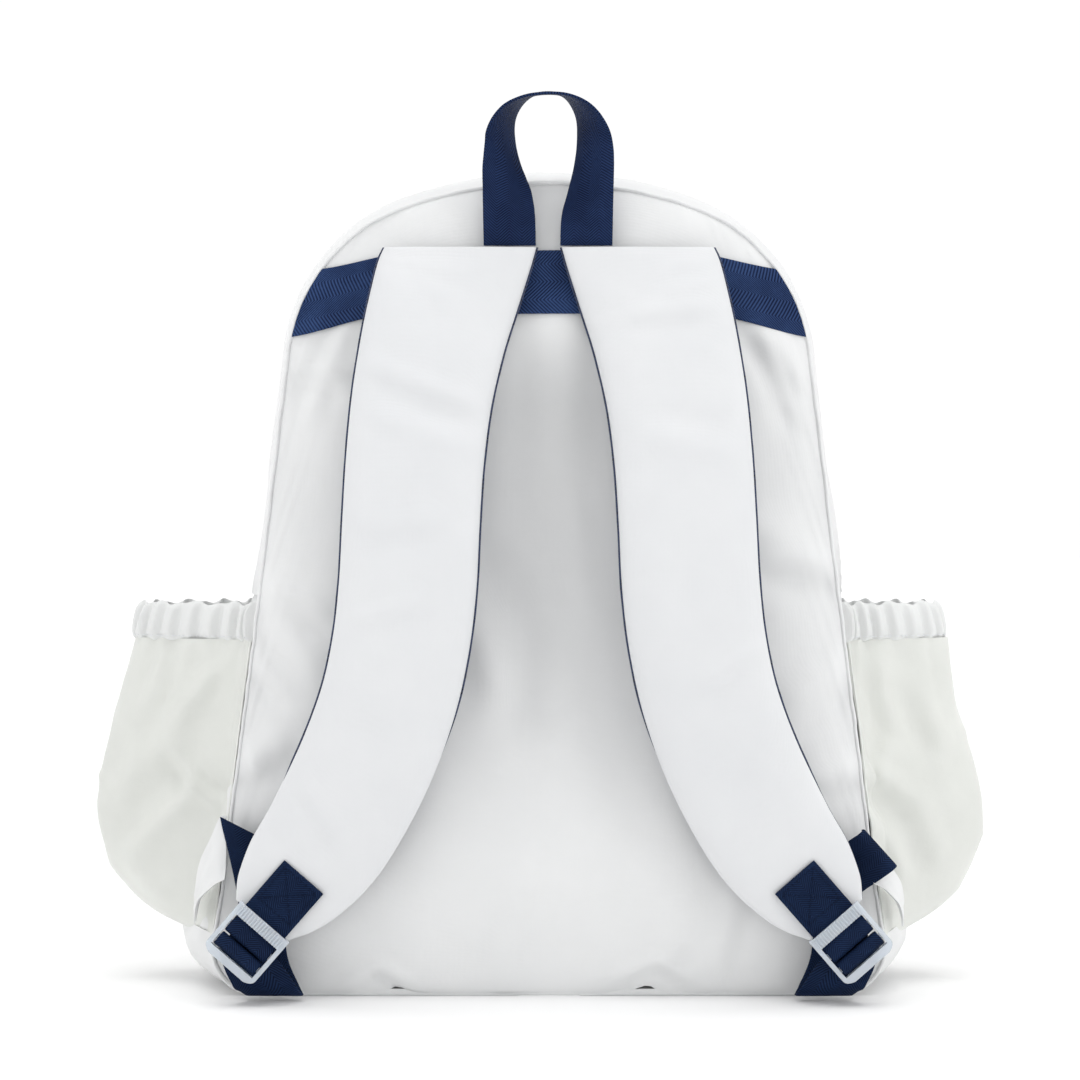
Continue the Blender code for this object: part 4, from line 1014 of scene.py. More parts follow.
def make_front_pocket():
    """Patch pocket: turned edges, a stitched border and a zip let in along its top."""
    corner = 16 * MM
    rows = []
    z_top = FRONT_ZIP_Z - 7 * MM
    for z in frange(FRONT_POCKET_LOW_Z, z_top, 56):
        cut = max(0.0, corner - (z - FRONT_POCKET_LOW_Z))
        half = FRONT_POCKET_HALF - corner + sqrt(max(0.0, corner**2 - cut**2))
        row = []
        for k in range(72):
            share = -cos(pi * k / 71)
            x = share * half
            edge = min((1 - abs(share)) * half, z - FRONT_POCKET_LOW_Z, z_top - z)
            puff = patch_puff(x, z, edge) - 1.0 * MM * bell(edge, 3.2 * MM, 1.1 * MM)
            row.append(Vector((x, sleeve_outside(x, z) + puff, z)))
        rows.append(row[::-1])
    piece = shell_object("front_pocket_cloth", rows, 1.4 * MM, WHITE, "door")
    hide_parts("front_pocket")
    rows = []
    for k in range(60):
        x = FRONT_POCKET_HALF * (-1 + 2 * k / 59)
        row = []
        for z in frange(FRONT_ZIP_Z - 6.4 * MM, FRONT_ZIP_Z + 6.4 * MM, 9):
            row.append(Vector((x, sleeve_outside(x, z) + 2.2 * MM, z)))
        rows.append(row)
    piece = shell_object("front_zip_cloth", rows, 1.2 * MM, TAPE, "door")
    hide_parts("front_zip_tape")
    bm = bmesh.new()
    pitch = 1.9 * MM
    for row in (-1, 1):
        for k in range(int(2 * (FRONT_POCKET_HALF - 3 * MM) / pitch)):
            x = -FRONT_POCKET_HALF + 3 * MM + (k + (0.5 if row > 0 else 0)) * pitch
            z = FRONT_ZIP_Z + row * 0.75 * MM
            y = sleeve_outside(x, z) + 2.5 * MM
            made = bmesh.ops.create_cube(bm, size=1.0)["verts"]
            for vert in made:
                vert.co = Vector((x + vert.co.x * 0.95 * MM, y + vert.co.y * 0.9 * MM, z + vert.co.z * 1.9 * MM))
    object_from("front_zip_teeth", bm, COIL, "door", sharp=40)
    x, y = -70 * MM, sleeve_y(0, FRONT_ZIP_Z) + 2.9 * MM
    slider_body(
        "front_slider_cast", Vector((x, y, FRONT_ZIP_Z)), Vector((1, 0, 0)), Vector((0, 0, 1)), Vector((0, 1, 0)),
        "front_slider", "front_zip_slider",
    )
    pull_tab(
        "front_pull_tab", Vector((x, y + 4.8 * MM, FRONT_ZIP_Z + 1 * MM)), Vector((0, 0, -1)), Vector((1, 0, 0)),
        "front_pull", "front_zip_pull",
    )
    line = []
    inset, bend = 3.2 * MM, 14 * MM
    left, right, low = -FRONT_POCKET_HALF + inset, FRONT_POCKET_HALF - inset, FRONT_POCKET_LOW_Z + inset
    path = [(left, z) for z in frange(z_top - 2 * MM, low + bend, 30)]
    path += [(left + bend - bend * cos(t), low + bend - bend * sin(t)) for t in frange(0, pi / 2, 8)]
    path += [(x, low) for x in frange(left + 15 * MM, right - 15 * MM, 40)]
    path += [(right - bend + bend * sin(t), low + bend - bend * cos(t)) for t in frange(0, pi / 2, 8)]
    path += [(right, z) for z in frange(low + bend, z_top - 2 * MM, 30)]
    for x, z in path:
        line.append((Vector((x, sleeve_outside(x, z) + patch_puff(x, z, inset) - 0.7 * MM, z)), Vector((0, 1, 0))))
    lines = [line]
    for z in (FRONT_ZIP_Z - 4.6 * MM, FRONT_ZIP_Z + 4.6 * MM):
        lines.append([
            (Vector((x, sleeve_outside(x, z) + 2.4 * MM, z)), Vector((0, 1, 0)))
            for x in frange(-FRONT_POCKET_HALF + 2 * MM, FRONT_POCKET_HALF - 2 * MM, 60)
        ])
    stitches("front_pocket_stitching", lines, WHITE_THREAD, "door")


def box_stitch(name, corners, normal, body):
    """A sewn square with a cross in it."""
    a, b, c, d = corners
    paths = [(a, b), (b, c), (c, d), (d, a), (a, c), (b, d)]
    lines = [[(p.lerp(q, t), normal) for t in frange(0, 1, 12)] for p, q in paths]
    stitches(name, lines, NAVY_THREAD, body, length=2.0 * MM, gap=0.7 * MM, radius=0.32 * MM)


def make_keeper():
    surface = front_y(0, KEEPER_Z) + 2.4 * MM
    up, out = Vector((0, 0, 1)), Vector((0, 1, 0))
    centres = [
        Vector((x * MM, front_y(x * MM, KEEPER_Z) + lift * MM, KEEPER_Z))
        for x, lift in ((-88, 1.2), (-80, 1.6), (-74, 2.0), (-70, 2.4), (-66.6, 2.6))
    ]
    piece = web_object("keeper_sewn_end", centres, [up] * 5, WEB_WIDTH, 1.7 * MM, NAVY, "door", count=14)
    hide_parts("keeper_anchor")
    centres = [Vector((x * MM, surface + 0.75 * MM, KEEPER_Z)) for x in (-66, -40, -10, 20, 50, 74)]
    piece = web_object("keeper_webbing", centres, [up] * 6, WEB_WIDTH, 1.5 * MM, NAVY, "keeper", count=40)
    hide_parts("racket_keeper")
    low, high = KEEPER_Z - 9 * MM, KEEPER_Z + 9 * MM
    y = front_y(-76 * MM, KEEPER_Z) + 3.0 * MM
    corners = ((-85, -0.6, low), (-70, 0.3, low), (-70, 0.3, high), (-85, -0.6, high))
    box_stitch("keeper_box_stitch", [Vector((at * MM, y + rise * MM, z)) for at, rise, z in corners], out, "door")
    x = 60 * MM
    cap_y = surface + 1.8 * MM
    bm = bmesh.new()
    profile = [(6.2, 0), (6.2, 0.7), (5.9, 1.2), (5.0, 1.45), (4.2, 1.3), (3.6, 1.5), (2.0, 2.0), (0.0, 2.15)]
    sides = 40
    turns = [2 * pi * k / sides for k in range(sides)]
    rings = []
    for radius, height in profile[:-1]:
        rings.append([
            bm.verts.new((x + radius * MM * cos(turn), cap_y + height * MM, KEEPER_Z + radius * MM * sin(turn)))
            for turn in turns
        ])
    for a, b in zip(rings, rings[1:]):
        for k in range(sides):
            bm.faces.new((a[k], a[(k + 1) % sides], b[(k + 1) % sides], b[k]))
    bm.faces.new(rings[0])
    tip = bm.verts.new((x, cap_y + profile[-1][1] * MM, KEEPER_Z))
    for k in range(sides):
        bm.faces.new((rings[-1][k], rings[-1][(k + 1) % sides], tip))
    bmesh.ops.recalc_face_normals(bm, faces=bm.faces)
    piece = object_from("snap_button", bm, NICKEL, "keeper", sharp=35)
    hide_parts("snap_cap")


# ---------------------------------------------------------------- inside

def make_inside():
    half, deep, low, high = 118 * MM, 11.5 * MM, 22 * MM, 223 * MM
    rows = []
    for z in frange(low, high, 50):
        row = []
        for k in range(60):
            x = half * -cos(pi * k / 59)
            side = 1 - min(1.0, abs(x) / half) ** 6
            puff = deep * side * (1 - exp(-(z - low) / (5 * MM)))
            puff += 0.8 * MM * wave(x / (40 * MM), z / (60 * MM), 61.0) * side
            row.append(Vector((x, BACK_INNER_Y + 1.6 * MM + puff, z)))
        rows.append(row[::-1])
    piece = shell_object("inner_sleeve_cloth", rows, 1.0 * MM, LINING, "bag")
    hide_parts("inner_sleeve")
    rings = []
    for k in range(80):
        x = half * -cos(pi * k / 79)
        side = 1 - min(1.0, abs(x) / half) ** 6
        ring = []
        for a, b in WEB_PROFILE:
            z = high + 4.5 * MM + a * 4.4 * MM
            ring.append(Vector((x, BACK_INNER_Y + 1.3 * MM + deep * side + b * 0.9 * MM, z)))
        rings.append(ring)
    widths = [a * 4.4 * MM for a, _ in WEB_PROFILE]
    piece = tube_object("inner_edge_binding", rings, NAVY_BINDING, "bag", widths=widths, sharp=60)
    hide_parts("inner_sleeve_binding")


# ---------------------------------------------------------------- side pockets

POCKET_CREASES = {
    -1: (
        ((-203, 174), (-213, 146), 6, 2.6), ((-172, 170), (-193, 141), 6, 3.2), ((-184, 168), (-204, 118), 8, 2.2),
        ((-183, 108), (-224, 66), 8, 3.8), ((-174, 97), (-188, 108), 4, 2.6), ((-197, 126), (-185, 108), 5, 2.4),
        ((-222, 62), (-201, 45), 7, 2.2), ((-216, 128), (-228, 96), 8, 2.2),
    ),
    1: (
        ((170, 174), (183, 136), 6, 2.6), ((189, 165), (209, 130), 7, 2.6), ((166, 117), (192, 98), 7, 3.2),
        ((168, 92), (186, 60), 6, 2.6), ((178, 128), (170, 108), 5, 2.0), ((196, 96), (206, 64), 7, 2.2),
    ),
}


def pocket_point(side, t, z):
    """A place on a side pocket's cloth: t runs round it from the back seam to the front seam."""
    back = -62.2 * MM
    y = back + (POCKET_FRONT_Y - back) * (0.5 - 0.5 * cos(pi * t))
    foot = 1 - exp(-max(0.0, z - POCKET_LOW_Z) / (7 * MM))
    inner = ramp(y, POCKET_BACK_Y - 4 * MM, POCKET_FRONT_Y)
    swell = pocket_reach(side, z) * sin(pi * (0.5 - 0.5 * cos(pi * min(1.0, 0.02 + inner)))) ** 0.62
    swell *= smooth(y, back, POCKET_BACK_Y + 12 * MM) ** 0.5
    tuck = 1.0 * MM * exp(-(y - back) / (4 * MM))
    return Vector((side * (side_x(y, z) + 0.7 * MM + tuck + swell * (0.12 + 0.88 * foot)), y, z))


def pocket_place(side, t, z, out):
    """A place on the cloth, pushed out along the cloth's own normal."""
    here = pocket_point(side, t, z)
    run = pocket_point(side, min(1.0, t + 0.01), z) - pocket_point(side, max(0.0, t - 0.01), z)
    normal = Vector((run.y, -run.x, 0)).normalized() * side
    return here + normal * out


def pocket_folds(side, t, z):
    """Drape folds that fan down from the gathered top, with a pinch across the belly."""
    seed = 71.0 if side < 0 else 83.0
    down = ramp(z, POCKET_ELASTIC_Z, POCKET_LOW_Z)
    spread = 0.5 + (t - 0.5) / (1 + 0.25 * down)
    gathers = wave(spread * 15, down * 1.3, seed) + 0.6 * wave(spread * 31, down * 2.2, seed + 3)
    out = 4.2 * MM * gathers * exp(-down * 3.0)
    slant = wave(spread * 5 + down * 2.4, down * 3.0 - spread * 2.4, seed + 7)
    out += 3.2 * MM * (1 - min(1.0, abs(slant) * 2.2)) ** 2 * smooth(down, 0.05, 0.35) * smooth(t, 0.45, 0.62)
    out += 2.2 * MM * wave(spread * 2.4, down * 2.2, seed + 11)
    place = pocket_point(side, t, z)
    seen = 1 - smooth(t, 0.42, 0.62)
    out += creases(place.x, z, POCKET_CREASES[side]) * seen
    return out * smooth(t, 0.0, 0.1) * smooth(1 - t, 0.0, 0.1) * (1 - smooth(down, 0.86, 1.0))


def casing_gather(side, t, tall):
    seed = 91.0 if side < 0 else 97.0
    phase = 2 * pi * 27 * t + 2.8 * wave(t * 7, seed)
    size = (0.75 + 0.6 * wave(t * 11, seed, 4.0)) * smooth(t, 0, 0.06) * smooth(1 - t, 0, 0.06)
    fold = sin(phase + 0.5 * tall) + 0.35 * sin(2 * phase + 0.6)
    return 2.0 * MM * fold * size, phase


def make_side_pocket(side, word):
    rows = []
    for z in [POCKET_LOW_Z + 0.2 * MM] + frange(POCKET_LOW_Z + 1 * MM, POCKET_ELASTIC_Z + 1 * MM, 100):
        row = []
        for k in range(120):
            t = 0.002 + 0.996 * k / 119
            row.append(pocket_place(side, t, z, pocket_folds(side, t, z)))
        rows.append(row if side > 0 else row[::-1])
    piece = shell_object(f"pocket_cloth_{word}", rows, 0.8 * MM, POCKET_WHITE, "bag")
    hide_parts(f"side_pocket_{word}")
    rings = []
    count = 300
    middle = (POCKET_ELASTIC_Z + POCKET_TOP_Z) / 2
    for k in range(count):
        t = 0.002 + 0.996 * k / (count - 1)
        ring = []
        for j in range(20):
            angle = 2 * pi * j / 20
            tall = sin(angle)
            gather, phase = casing_gather(side, t, tall)
            z = middle + (10.2 + 0.5 * sin(phase + 1.1)) * MM * tall
            z += 0.9 * MM * sin(phase * 0.5 + 0.7) * max(0.0, tall) - 0.9 * MM * max(0.0, tall)
            puff = 1.7 * MM * cos(angle) + gather * (1 - 0.8 * abs(tall) ** 5) - 1.0 * MM * abs(tall) ** 6
            base = pocket_place(side, t, min(z, POCKET_TOP_Z), puff)
            base.z = z
            ring.append(base)
        rings.append(ring)
    piece = tube_object(f"elastic_casing_{word}", rings, CASING_WHITE, "bag", sharp=75)
    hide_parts(f"pocket_elastic_{word}")
    line = []
    for k in range(220):
        t = 0.01 + 0.98 * k / 219
        gather, _ = casing_gather(side, t, -0.8)
        z = POCKET_ELASTIC_Z + 2.4 * MM
        outward = pocket_place(side, t, z, 1 * MM) - pocket_place(side, t, z, 0.0)
        line.append((pocket_place(side, t, z, 0.9 * MM + gather * 0.6), outward.normalized()))
    stitches(f"casing_stitching_{word}", [line], WHITE_THREAD, "bag")


# ---------------------------------------------------------------- straps

def strap_frame(count=150):
    line = spline([(x * MM, y * MM, z * MM) for x, z, _, y, _ in STRAP_STATIONS], count)
    sizes = spline([(half * MM, thick * MM, 0) for _, _, half, _, thick in STRAP_STATIONS], count)
    frames = []
    for k, centre in enumerate(line):
        ahead, behind = line[min(k + 1, count - 1)], line[max(k - 1, 0)]
        along = Vector((ahead.x - behind.x, 0, ahead.z - behind.z)).normalized()
        across = Vector((-along.z, 0, along.x))
        across = Vector((1, 0, 0)).lerp(across, ramp(k, 0, 4 * count / 34)).normalized()
        frames.append((centre, across, sizes[k].x, sizes[k].y))
    return frames


STRAP_FRAMES = strap_frame()
STRAP_CREASES = {
    -1: (
        ((66, 205), (98, 192), 5, 1.0), ((104, 88), (130, 104), 5, 1.0), ((34, 306), (88, 318), 5, 1.3),
        ((40, 294), (86, 304), 6, -1.0), ((56, 246), (92, 240), 6, 0.8),
    ),
    1: (
        ((74, 163), (104, 176), 5, 1.3), ((96, 96), (128, 112), 5, 0.9), ((44, 352), (82, 346), 5, 1.0),
        ((52, 300), (90, 288), 7, -0.9),
    ),
}


def strap_height(side, k, share, thick):
    """Height of the pad's outer face above its inner one: crowned, with rolled edges and a few soft creases."""
    seed = 101.0 if side < 0 else 113.0
    body = (1 - abs(share) ** 3.4) ** 0.42
    out = 1.5 * MM + (thick - 1.5 * MM) * body
    along = k * 2.5
    out += 0.5 * MM * wave(along / 38, share * 1.4, seed) * body
    out += 0.32 * MM * wave(along / 13, share * 2.6, seed + 2) * body
    edge = (1 - abs(share)) * STRAP_HALF
    out += 0.35 * MM * wave(along / 6.5, 0.5 + 3 * (share > 0), seed + 5) * exp(-edge / 4) * body
    centre = STRAP_FRAMES[k][0]
    out += creases(centre.x + share * STRAP_HALF * MM, centre.z, STRAP_CREASES[side]) * body
    return out


STRAP_SHARES = [sin(pi / 2 * (-1 + 2 * k / (STRAP_COLUMNS - 1))) for k in range(STRAP_COLUMNS)]


def make_strap(side, word):
    body = f"strap_{word}"
    rings = []
    for k, (centre, across, half, thick) in enumerate(STRAP_FRAMES):
        ring = []
        for share in STRAP_SHARES:
            height = strap_height(side, k, share, thick)
            if abs(share) > 0.999:
                height = 1.5 * MM
            point = centre + across * share * half + Vector((0, -height, 0))
            ring.append(on_side(side, point))
        for share in (0.97, 0.5, 0, -0.5, -0.97):
            point = centre + across * share * half + Vector((0, -1.1 * MM, 0))
            ring.append(on_side(side, point))
        rings.append(ring)
    piece = tube_object(f"strap_pad_{word}", rings, WHITE_PAD, body)
    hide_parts(f"strap_cover_{word}", f"strap_foam_{word}")
    rings = []
    for k, (centre, across, half, _) in enumerate(STRAP_FRAMES):
        seed = 121.0 if side < 0 else 127.0
        wobble = 0.12 * MM * wave(k / 4, seed)
        ring = []
        inner_edge = 1 - smooth(centre.z, 170 * MM, 120 * MM)
        outer_edge = 1 - smooth(centre.z, 112 * MM, 88 * MM) * (1.0 if side < 0 else 0.5)
        for share, push, height in (
            (-1, -0.35, 0.2), (-1, -0.85, 0.7), (-1, -0.75, 1.4), (-1, -0.1, 1.75), (-0.98, 0, 1.2), (0, 0, 1.0),
            (0.98, 0, 1.2), (1, 0.1, 1.75), (1, 0.75, 1.4), (1, 0.85, 0.7), (1, 0.35, 0.2), (0.5, 0, 0.0), (0, 0, -0.1),
            (-0.5, 0, 0.0),
        ):
            shown = outer_edge if share > 0 else inner_edge
            push = push * (0.4 + 0.75 * shown) - (0.8 * (1 - shown) * share if abs(share) == 1 else 0)
            reach = share * half + push * MM + (wobble if push > 0 else -wobble if push < 0 else 0)
            point = centre + across * reach + Vector((0, -height * MM, 0))
            ring.append(on_side(side, point))
        rings.append(ring)
    piece = tube_object(f"strap_backing_{word}", rings, NAVY_MESH, body)
    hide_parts(f"strap_lining_{word}")


def arc_points(centre_u, centre_n, radius, start, end, steps):
    """Places (u, n) round a buckle's bar, from one angle in degrees to another."""
    return [
        (
            centre_u + radius * cos(radians(start + (end - start) * k / steps)),
            centre_n + radius * sin(radians(start + (end - start) * k / steps)),
        )
        for k in range(steps + 1)
    ]


def make_tab(side, word):
    path = [(-29.5, 0.5), (-25, -0.1), (-19, -1.1), (-11, -1.6), (-4, -1.5), (2, -1.0), (5.2, -0.3), (7.6, 0.6)]
    path += [(9.6, 1.35), (11.5, 1.6)] + arc_points(14.0, -0.2, 1.8, 88, -90, 7) + [(10, -2.0), (6, -2.5), (3.5, -2.8)]
    centres = [in_buckle(side, u, 0, n) for u, n in path]
    across = [in_buckle(side, 0, 1, 0) - in_buckle(side, 0, 0, 0)] * len(path)
    piece = web_object(
        f"tab_webbing_{word}", centres, across, WEB_WIDTH, THIN_WEB, NAVY_PAINTED_SHADE, None, count=90,
    )
    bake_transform(piece)
    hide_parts(f"strap_tab_{word}")
    corners = ((-27, -10.5), (-6.5, -10.5), (-6.5, 10.5), (-27, 10.5))
    paths = [(0, 1), (3, 2), (0, 3), (1, 2), (0, 2), (1, 3)]
    lines = []
    flat = spline([Vector((u, n, 0)) for u, n in path[:6]], 60)

    def height(u):
        return min(flat, key=lambda p: abs(p.x - u)).y

    for i, j in paths:
        a, b = corners[i], corners[j]
        line = []
        for t in frange(0, 1, 14):
            u, v = a[0] + (b[0] - a[0]) * t, a[1] + (b[1] - a[1]) * t
            line.append((in_buckle(side, u, v, height(u) + 0.68), Vector((0, -1, 0))))
        lines.append(line)
    stitches(
        f"tab_stitching_{word}", lines, NAVY_THREAD, f"strap_{word}", length=2.0 * MM, gap=0.7 * MM, radius=0.3 * MM,
    )


def make_buckle(side, word):
    """Ladder-lock: two rails, a ribbed bar, a wrapped bar, a grip bar and a rounded tongue, all softened."""
    rail, edge, ribs = 13.6, 16.0, 33
    us = [0, 6.4, 10.4, 14.0, 19.6, 22.4, 25.6, 27.0, 28.2, 29.2, 29.8, 30.1]
    vs = [-edge] + [rail * (-1 + 2 * k / ribs) for k in range(ribs + 1)] + [edge]
    ns = [-1.4, -1.1, 0.7, 1.1, 2.5, 3.1]

    def filled(u, v, n):
        if abs(v) > rail or u > 25.6:
            return n < 2.5
        if u < 6.4:
            return 1.1 < n < 2.5 or (n > 2.5 and int((v + rail) * ribs / (2 * rail)) % 2 == 0)
        if 10.4 < u < 14.0:
            return -1.1 < n < 0.7
        return 19.6 < u < 22.4 and n < 0.7

    def place(u, v, n):
        past = max(0.0, (u - 25.6) / 4.5)
        return in_buckle(side, u, v * sqrt(1 - 0.5 * past**2.4), n - 1.1 * past)

    bm = bmesh.new()
    corners = {}

    def corner(key):
        if key not in corners:
            corners[key] = bm.verts.new(place(us[key[0]], vs[key[1]], ns[key[2]]))
        return corners[key]

    cells = sorted(
        (i, j, k)
        for i in range(len(us) - 1)
        for j in range(len(vs) - 1)
        for k in range(len(ns) - 1)
        if filled((us[i] + us[i + 1]) / 2, (vs[j] + vs[j + 1]) / 2, (ns[k] + ns[k + 1]) / 2)
    )
    taken = set(cells)
    for cell in cells:
        for axis in range(3):
            for step in (0, 1):
                beside = list(cell)
                beside[axis] += 2 * step - 1
                if tuple(beside) in taken:
                    continue
                face = []
                for first, second in ((0, 0), (1, 0), (1, 1), (0, 1)):
                    at = list(cell)
                    at[axis] += step
                    at[(axis + 1) % 3] += first
                    at[(axis + 2) % 3] += second
                    face.append(corner(tuple(at)))
                bm.faces.new(face)
    bmesh.ops.recalc_face_normals(bm, faces=bm.faces)
    bmesh.ops.dissolve_limit(bm, angle_limit=radians(1), verts=bm.verts, edges=bm.edges)
    piece = object_from(f"ladder_lock_{word}", bm, CLEAR, f"buckle_{word}", sharp=35)
    soften = piece.modifiers.new("soft edges", "BEVEL")
    soften.width = 0.19 * MM
    soften.segments = 2
    soften.limit_method = "ANGLE"
    soften.angle_limit = radians(40)
    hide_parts(f"buckle_{word}")


def make_adjuster(side, word):
    """A piece wrapped on the grip bar, a front length from there to the floor, and a rear one up to the wing."""
    tail = [(20.6, -3.3), (19.0, -3.0)] + arc_points(21.0, -0.1, 3.15, 220, 60, 9)
    tail += [(23.9, 0.9), (24.1, -0.9), (24.6, -2.3), (25.2, -3.6), (25.6, -5.0)]
    centres = [in_buckle(side, u, 0, n) for u, n in tail]
    across = [in_buckle(side, 0, 1, 0) - in_buckle(side, 0, 0, 0)] * len(centres)
    piece = web_object(
        f"grip_webbing_{word}", centres, across, 25.6 * MM, THIN_WEB, NAVY_PAINTED_SHADE, None, count=70,
    )
    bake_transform(piece)
    centres = [in_buckle(side, u, 0, n) for u, n in ((13.0, -4.6), (17.0, -5.6))]
    across = across[:2]
    # Down to the floor and up again: x, y, z, turn in degrees and width.
    drop = [
        (152.2, -90.8, 22.0, -8, 25), (149.2, -89.0, 17.0, -26, 26), (146.0, -86.4, 11.6, -16, 28),
        (142.6, -83.2, 6.8, -4, 29), (140.2, -80.2, 3.6, 0, 29), (139.8, -77.2, 3.2, 0, 29),
        (142.0, -75.0, 6.4, -2, 29), (146.2, -74.6, 15.0, -12, 28), (147.2, -74.5, 26.0, -12, 26),
    ]
    if side > 0:
        drop += [
            (144.6, -74.5, 37.0, -16, 25.4), (143.4, -74.6, 47.0, -28, 25.4), (146.0, -74.8, 56.5, -46, 25.4),
            (153.0, -75.6, 65.5, -60, 25.4), (160.0, -77.6, 71.0, -54, 25.4), (166.0, -78.8, 75.4, -48, 25.4),
            (168.8, -77.0, 77.6, -48, 25.4), (168.4, -74.4, 77.4, -48, 25.4),
        ]
    else:
        drop += [
            (145.6, -74.5, 41.0, -2, 25.4), (147.2, -74.8, 55.0, 8, 25.8), (150.8, -75.2, 69.0, 18, 26.4),
            (154.6, -75.8, 82.0, 25, 27), (156.0, -76.0, 87.5, 27, 27),
        ]
    sizes = [25.4 * MM] * 2
    for x, y, z, turn, size in drop:
        centres.append(Vector((side * x, y, z)) * MM)
        across.append(Vector((side * cos(radians(turn)), 0, sin(radians(turn)))))
        sizes.append(size * MM)
    turn_under = 8
    piece = web_object(
        f"adjuster_front_{word}", centres[:turn_under], across[:turn_under], sizes[:turn_under], THIN_WEB, NAVY_PAINTED_SHADE,
        None, count=70,
    )
    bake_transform(piece)
    rear = turn_under - 1
    piece = web_object(
        f"adjuster_webbing_{word}", centres[rear:], across[rear:], sizes[rear:], THIN_WEB, NAVY_PAINTED_SHADE, None,
        count=120,
    )
    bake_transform(piece)
    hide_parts(f"adjuster_web_{word}")


def make_wing(side, word):
    """The folded cloth triangle in the side seam that the adjuster webbing is sewn into, curled along its free edge."""
    sections = [
        (184.4, -49.0, 36, 50), (183.2, -56.0, 37, 57), (180.4, -63.0, 42, 66), (176.6, -68.6, 49, 75),
        (172.4, -72.0, 54, 84), (168.4, -74.0, 58, 93), (165.0, -74.6, 60, 94),
    ]
    if side > 0:
        sections = [(x, y, low - 2, 50 + (high - 50) * 0.62) for x, y, low, high in sections]
    count = 36
    line = spline([(x, y, 0) for x, y, _, _ in sections], count)
    ends = spline([(low, high, 0) for _, _, low, high in sections], count)
    rings = []
    tall = 18
    for k in range(count):
        ahead, behind = line[min(k + 1, count - 1)], line[max(k - 1, 0)]
        direction = (ahead - behind).normalized()
        face = Vector((direction.y, -direction.x, 0))
        if face.y > 0:
            face = -face
        ring = []
        for sign in (-1, 1):
            for j in range(tall):
                t = j / (tall - 1) if sign < 0 else 1 - j / (tall - 1)
                curl = 3.2 * (1 - t) ** 5 * smooth(k, 4, 18)
                z = ends[k].x + (ends[k].y - ends[k].x) * t + curl * 0.6
                sag = 0.8 * wave(k / 11, t * 3, 131.0 + side)
                point = line[k] + face * (sign * 0.55 + sag + curl)
                ring.append(Vector((side * point.x, point.y, z)) * MM)
        rings.append(ring)
    piece = tube_object(f"corner_wing_{word}", rings, WHITE, "bag")
    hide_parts(f"anchor_wing_{word}")


def make_handle():
    """The grab loop. Each station: centre, turn of the webbing from facing the wearer, and rise of its outer edge."""
    left = [
        (20.0, 384.9, 0, 0.0), (20.2, 395, 2, 0.0), (20.5, 404, 8, 0.10), (20.9, 411, 14, 0.24), (21.5, 418, 20, 0.36),
        (22.4, 425, 35, 0.38), (23.6, 432, 48, 0.30), (24.4, 440, 57, 0.16), (22.8, 449, 68, 0.03),
        (18.2, 456.2, 76, -0.06), (10.0, 461.4, 84, -0.16), (0, 462.8, 90, -0.18),
    ]
    right = [
        (19.0, 384.9, 0, 0.0), (19.2, 395, 6, 0.0), (19.7, 404, 15, 0.10), (20.6, 412, 24, 0.24), (21.7, 421, 32, 0.34),
        (22.6, 430, 42, 0.30), (22.4, 440, 53, 0.18), (19.9, 450, 66, 0.04), (15.4, 456.8, 75, -0.05),
        (8.6, 461.5, 84, -0.14),
    ]
    stations = [(-1, *row) for row in left] + [(1, *row) for row in right[::-1]]
    centres, across, widths = [], [], []
    for sign, x, z, turn, rise in stations:
        centres.append(Vector((sign * x, -80.0, z)) * MM)
        across.append(Vector((sign * cos(radians(turn)), -sin(radians(turn)), rise)))
        widths.append(26.6 * MM * sqrt(1 + 0.75 * rise * rise))
    for k in range(1, len(centres)):
        if across[k].dot(across[k - 1]) < 0:
            across[k] = -across[k]
    piece = web_object(
        "grab_webbing", centres, across, widths, 1.5 * MM, NAVY, None, count=170, bow=0.35 * MM,
    )
    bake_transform(piece)
    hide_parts("grab_handle")


# ---------------------------------------------------------------- CAD pieces that stay

def dress(node, material):
    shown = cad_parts[node]
    for place in shown.material_slots:
        place.material = material


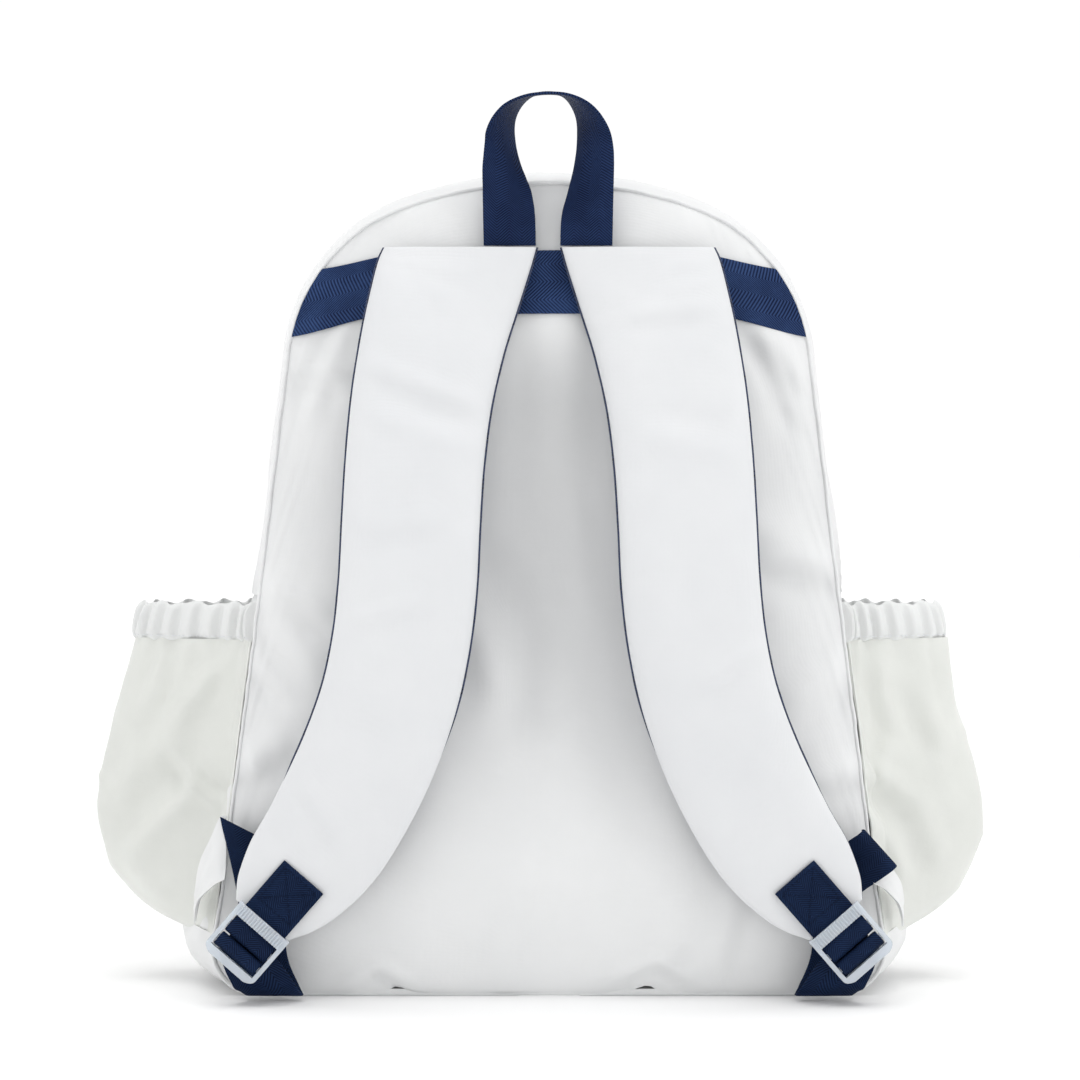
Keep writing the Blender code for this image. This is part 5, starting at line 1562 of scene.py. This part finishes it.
def make_studio():
    bm = bmesh.new()
    bmesh.ops.create_grid(bm, x_segments=1, y_segments=1, size=30.0)
    floor_piece = object_from("floor", bm, FLOOR)
    world = bpy.data.worlds.new("studio")
    bpy.context.scene.world = world
    world.use_nodes = True
    tree = world.node_tree
    sky = tree.nodes["Background"]
    direction = tree.nodes.new("ShaderNodeTexCoord")
    split = tree.nodes.new("ShaderNodeSeparateXYZ")
    tree.links.new(direction.outputs["Generated"], split.inputs[0])
    band = tree.nodes.new("ShaderNodeMapRange")
    for key, number in (("From Min", 0.22), ("From Max", 0.5), ("To Min", 1.02), ("To Max", SKY_LEVEL)):
        band.inputs[key].default_value = number
    tree.links.new(split.outputs["Z"], band.inputs["Value"])
    tree.links.new(band.outputs["Result"], sky.inputs["Strength"])
    sky.inputs["Color"].default_value = (1.0, 1.0, 1.0, 1.0)
    for name, angle, aim, energy in (
        ("overhead", 50, (0.0, 0.12, -1.0), 1.6),
        ("left", 38, (1.0, 0.55, -0.5), 0.34),
        ("right", 38, (-1.0, 0.55, -0.5), 0.60),
        ("rear", 60, (0.2, -1.0, -0.6), 0.5),
    ):
        lamp = bpy.data.lights.new(name, "SUN")
        lamp.energy = energy
        lamp.angle = radians(angle)
        shown = bpy.data.objects.new(name, lamp)
        bpy.context.scene.collection.objects.link(shown)
        shown.rotation_euler = Vector(aim).to_track_quat("-Z", "Y").to_euler()
    camera = bpy.data.cameras.new("camera")
    camera.lens = 87
    camera.sensor_width = 36
    shown = bpy.data.objects.new("camera", camera)
    bpy.context.scene.collection.objects.link(shown)
    shown.location = (-4.6 * MM, -1.409, 0.235)
    shown.rotation_euler = (pi / 2, 0, 0)
    bpy.context.scene.camera = shown
    bpy.context.scene.view_settings.view_transform = "Standard"
    bpy.context.scene.view_settings.look = "None"


def floor_material():
    g = Graph("pale_floor")
    colour = g.mix(g.noise(3, 2, 0.5), (0.95, 0.95, 0.95), (0.965, 0.965, 0.965))
    g.set(Roughness=0.9, Specular_IOR_Level=0.1)
    return g.done(colour, g.bump(g.noise(200, 2, 0.5), 0.02, 0.1 * MM))


FLOOR = floor_material()

make_studio()
make_back()
make_band()
make_gusset()
make_seam_roll()
make_zip()
make_sliders()
make_front()
make_sleeve()
make_front_pocket()
make_keeper()
make_inside()
make_handle()
for side, word in ((-1, "left"), (1, "right")):
    make_side_pocket(side, word)
    make_strap(side, word)
    make_tab(side, word)
    make_buckle(side, word)
    make_adjuster(side, word)
    make_wing(side, word)
dress("base_board", BOARD)
dress("snap_stud", NICKEL)
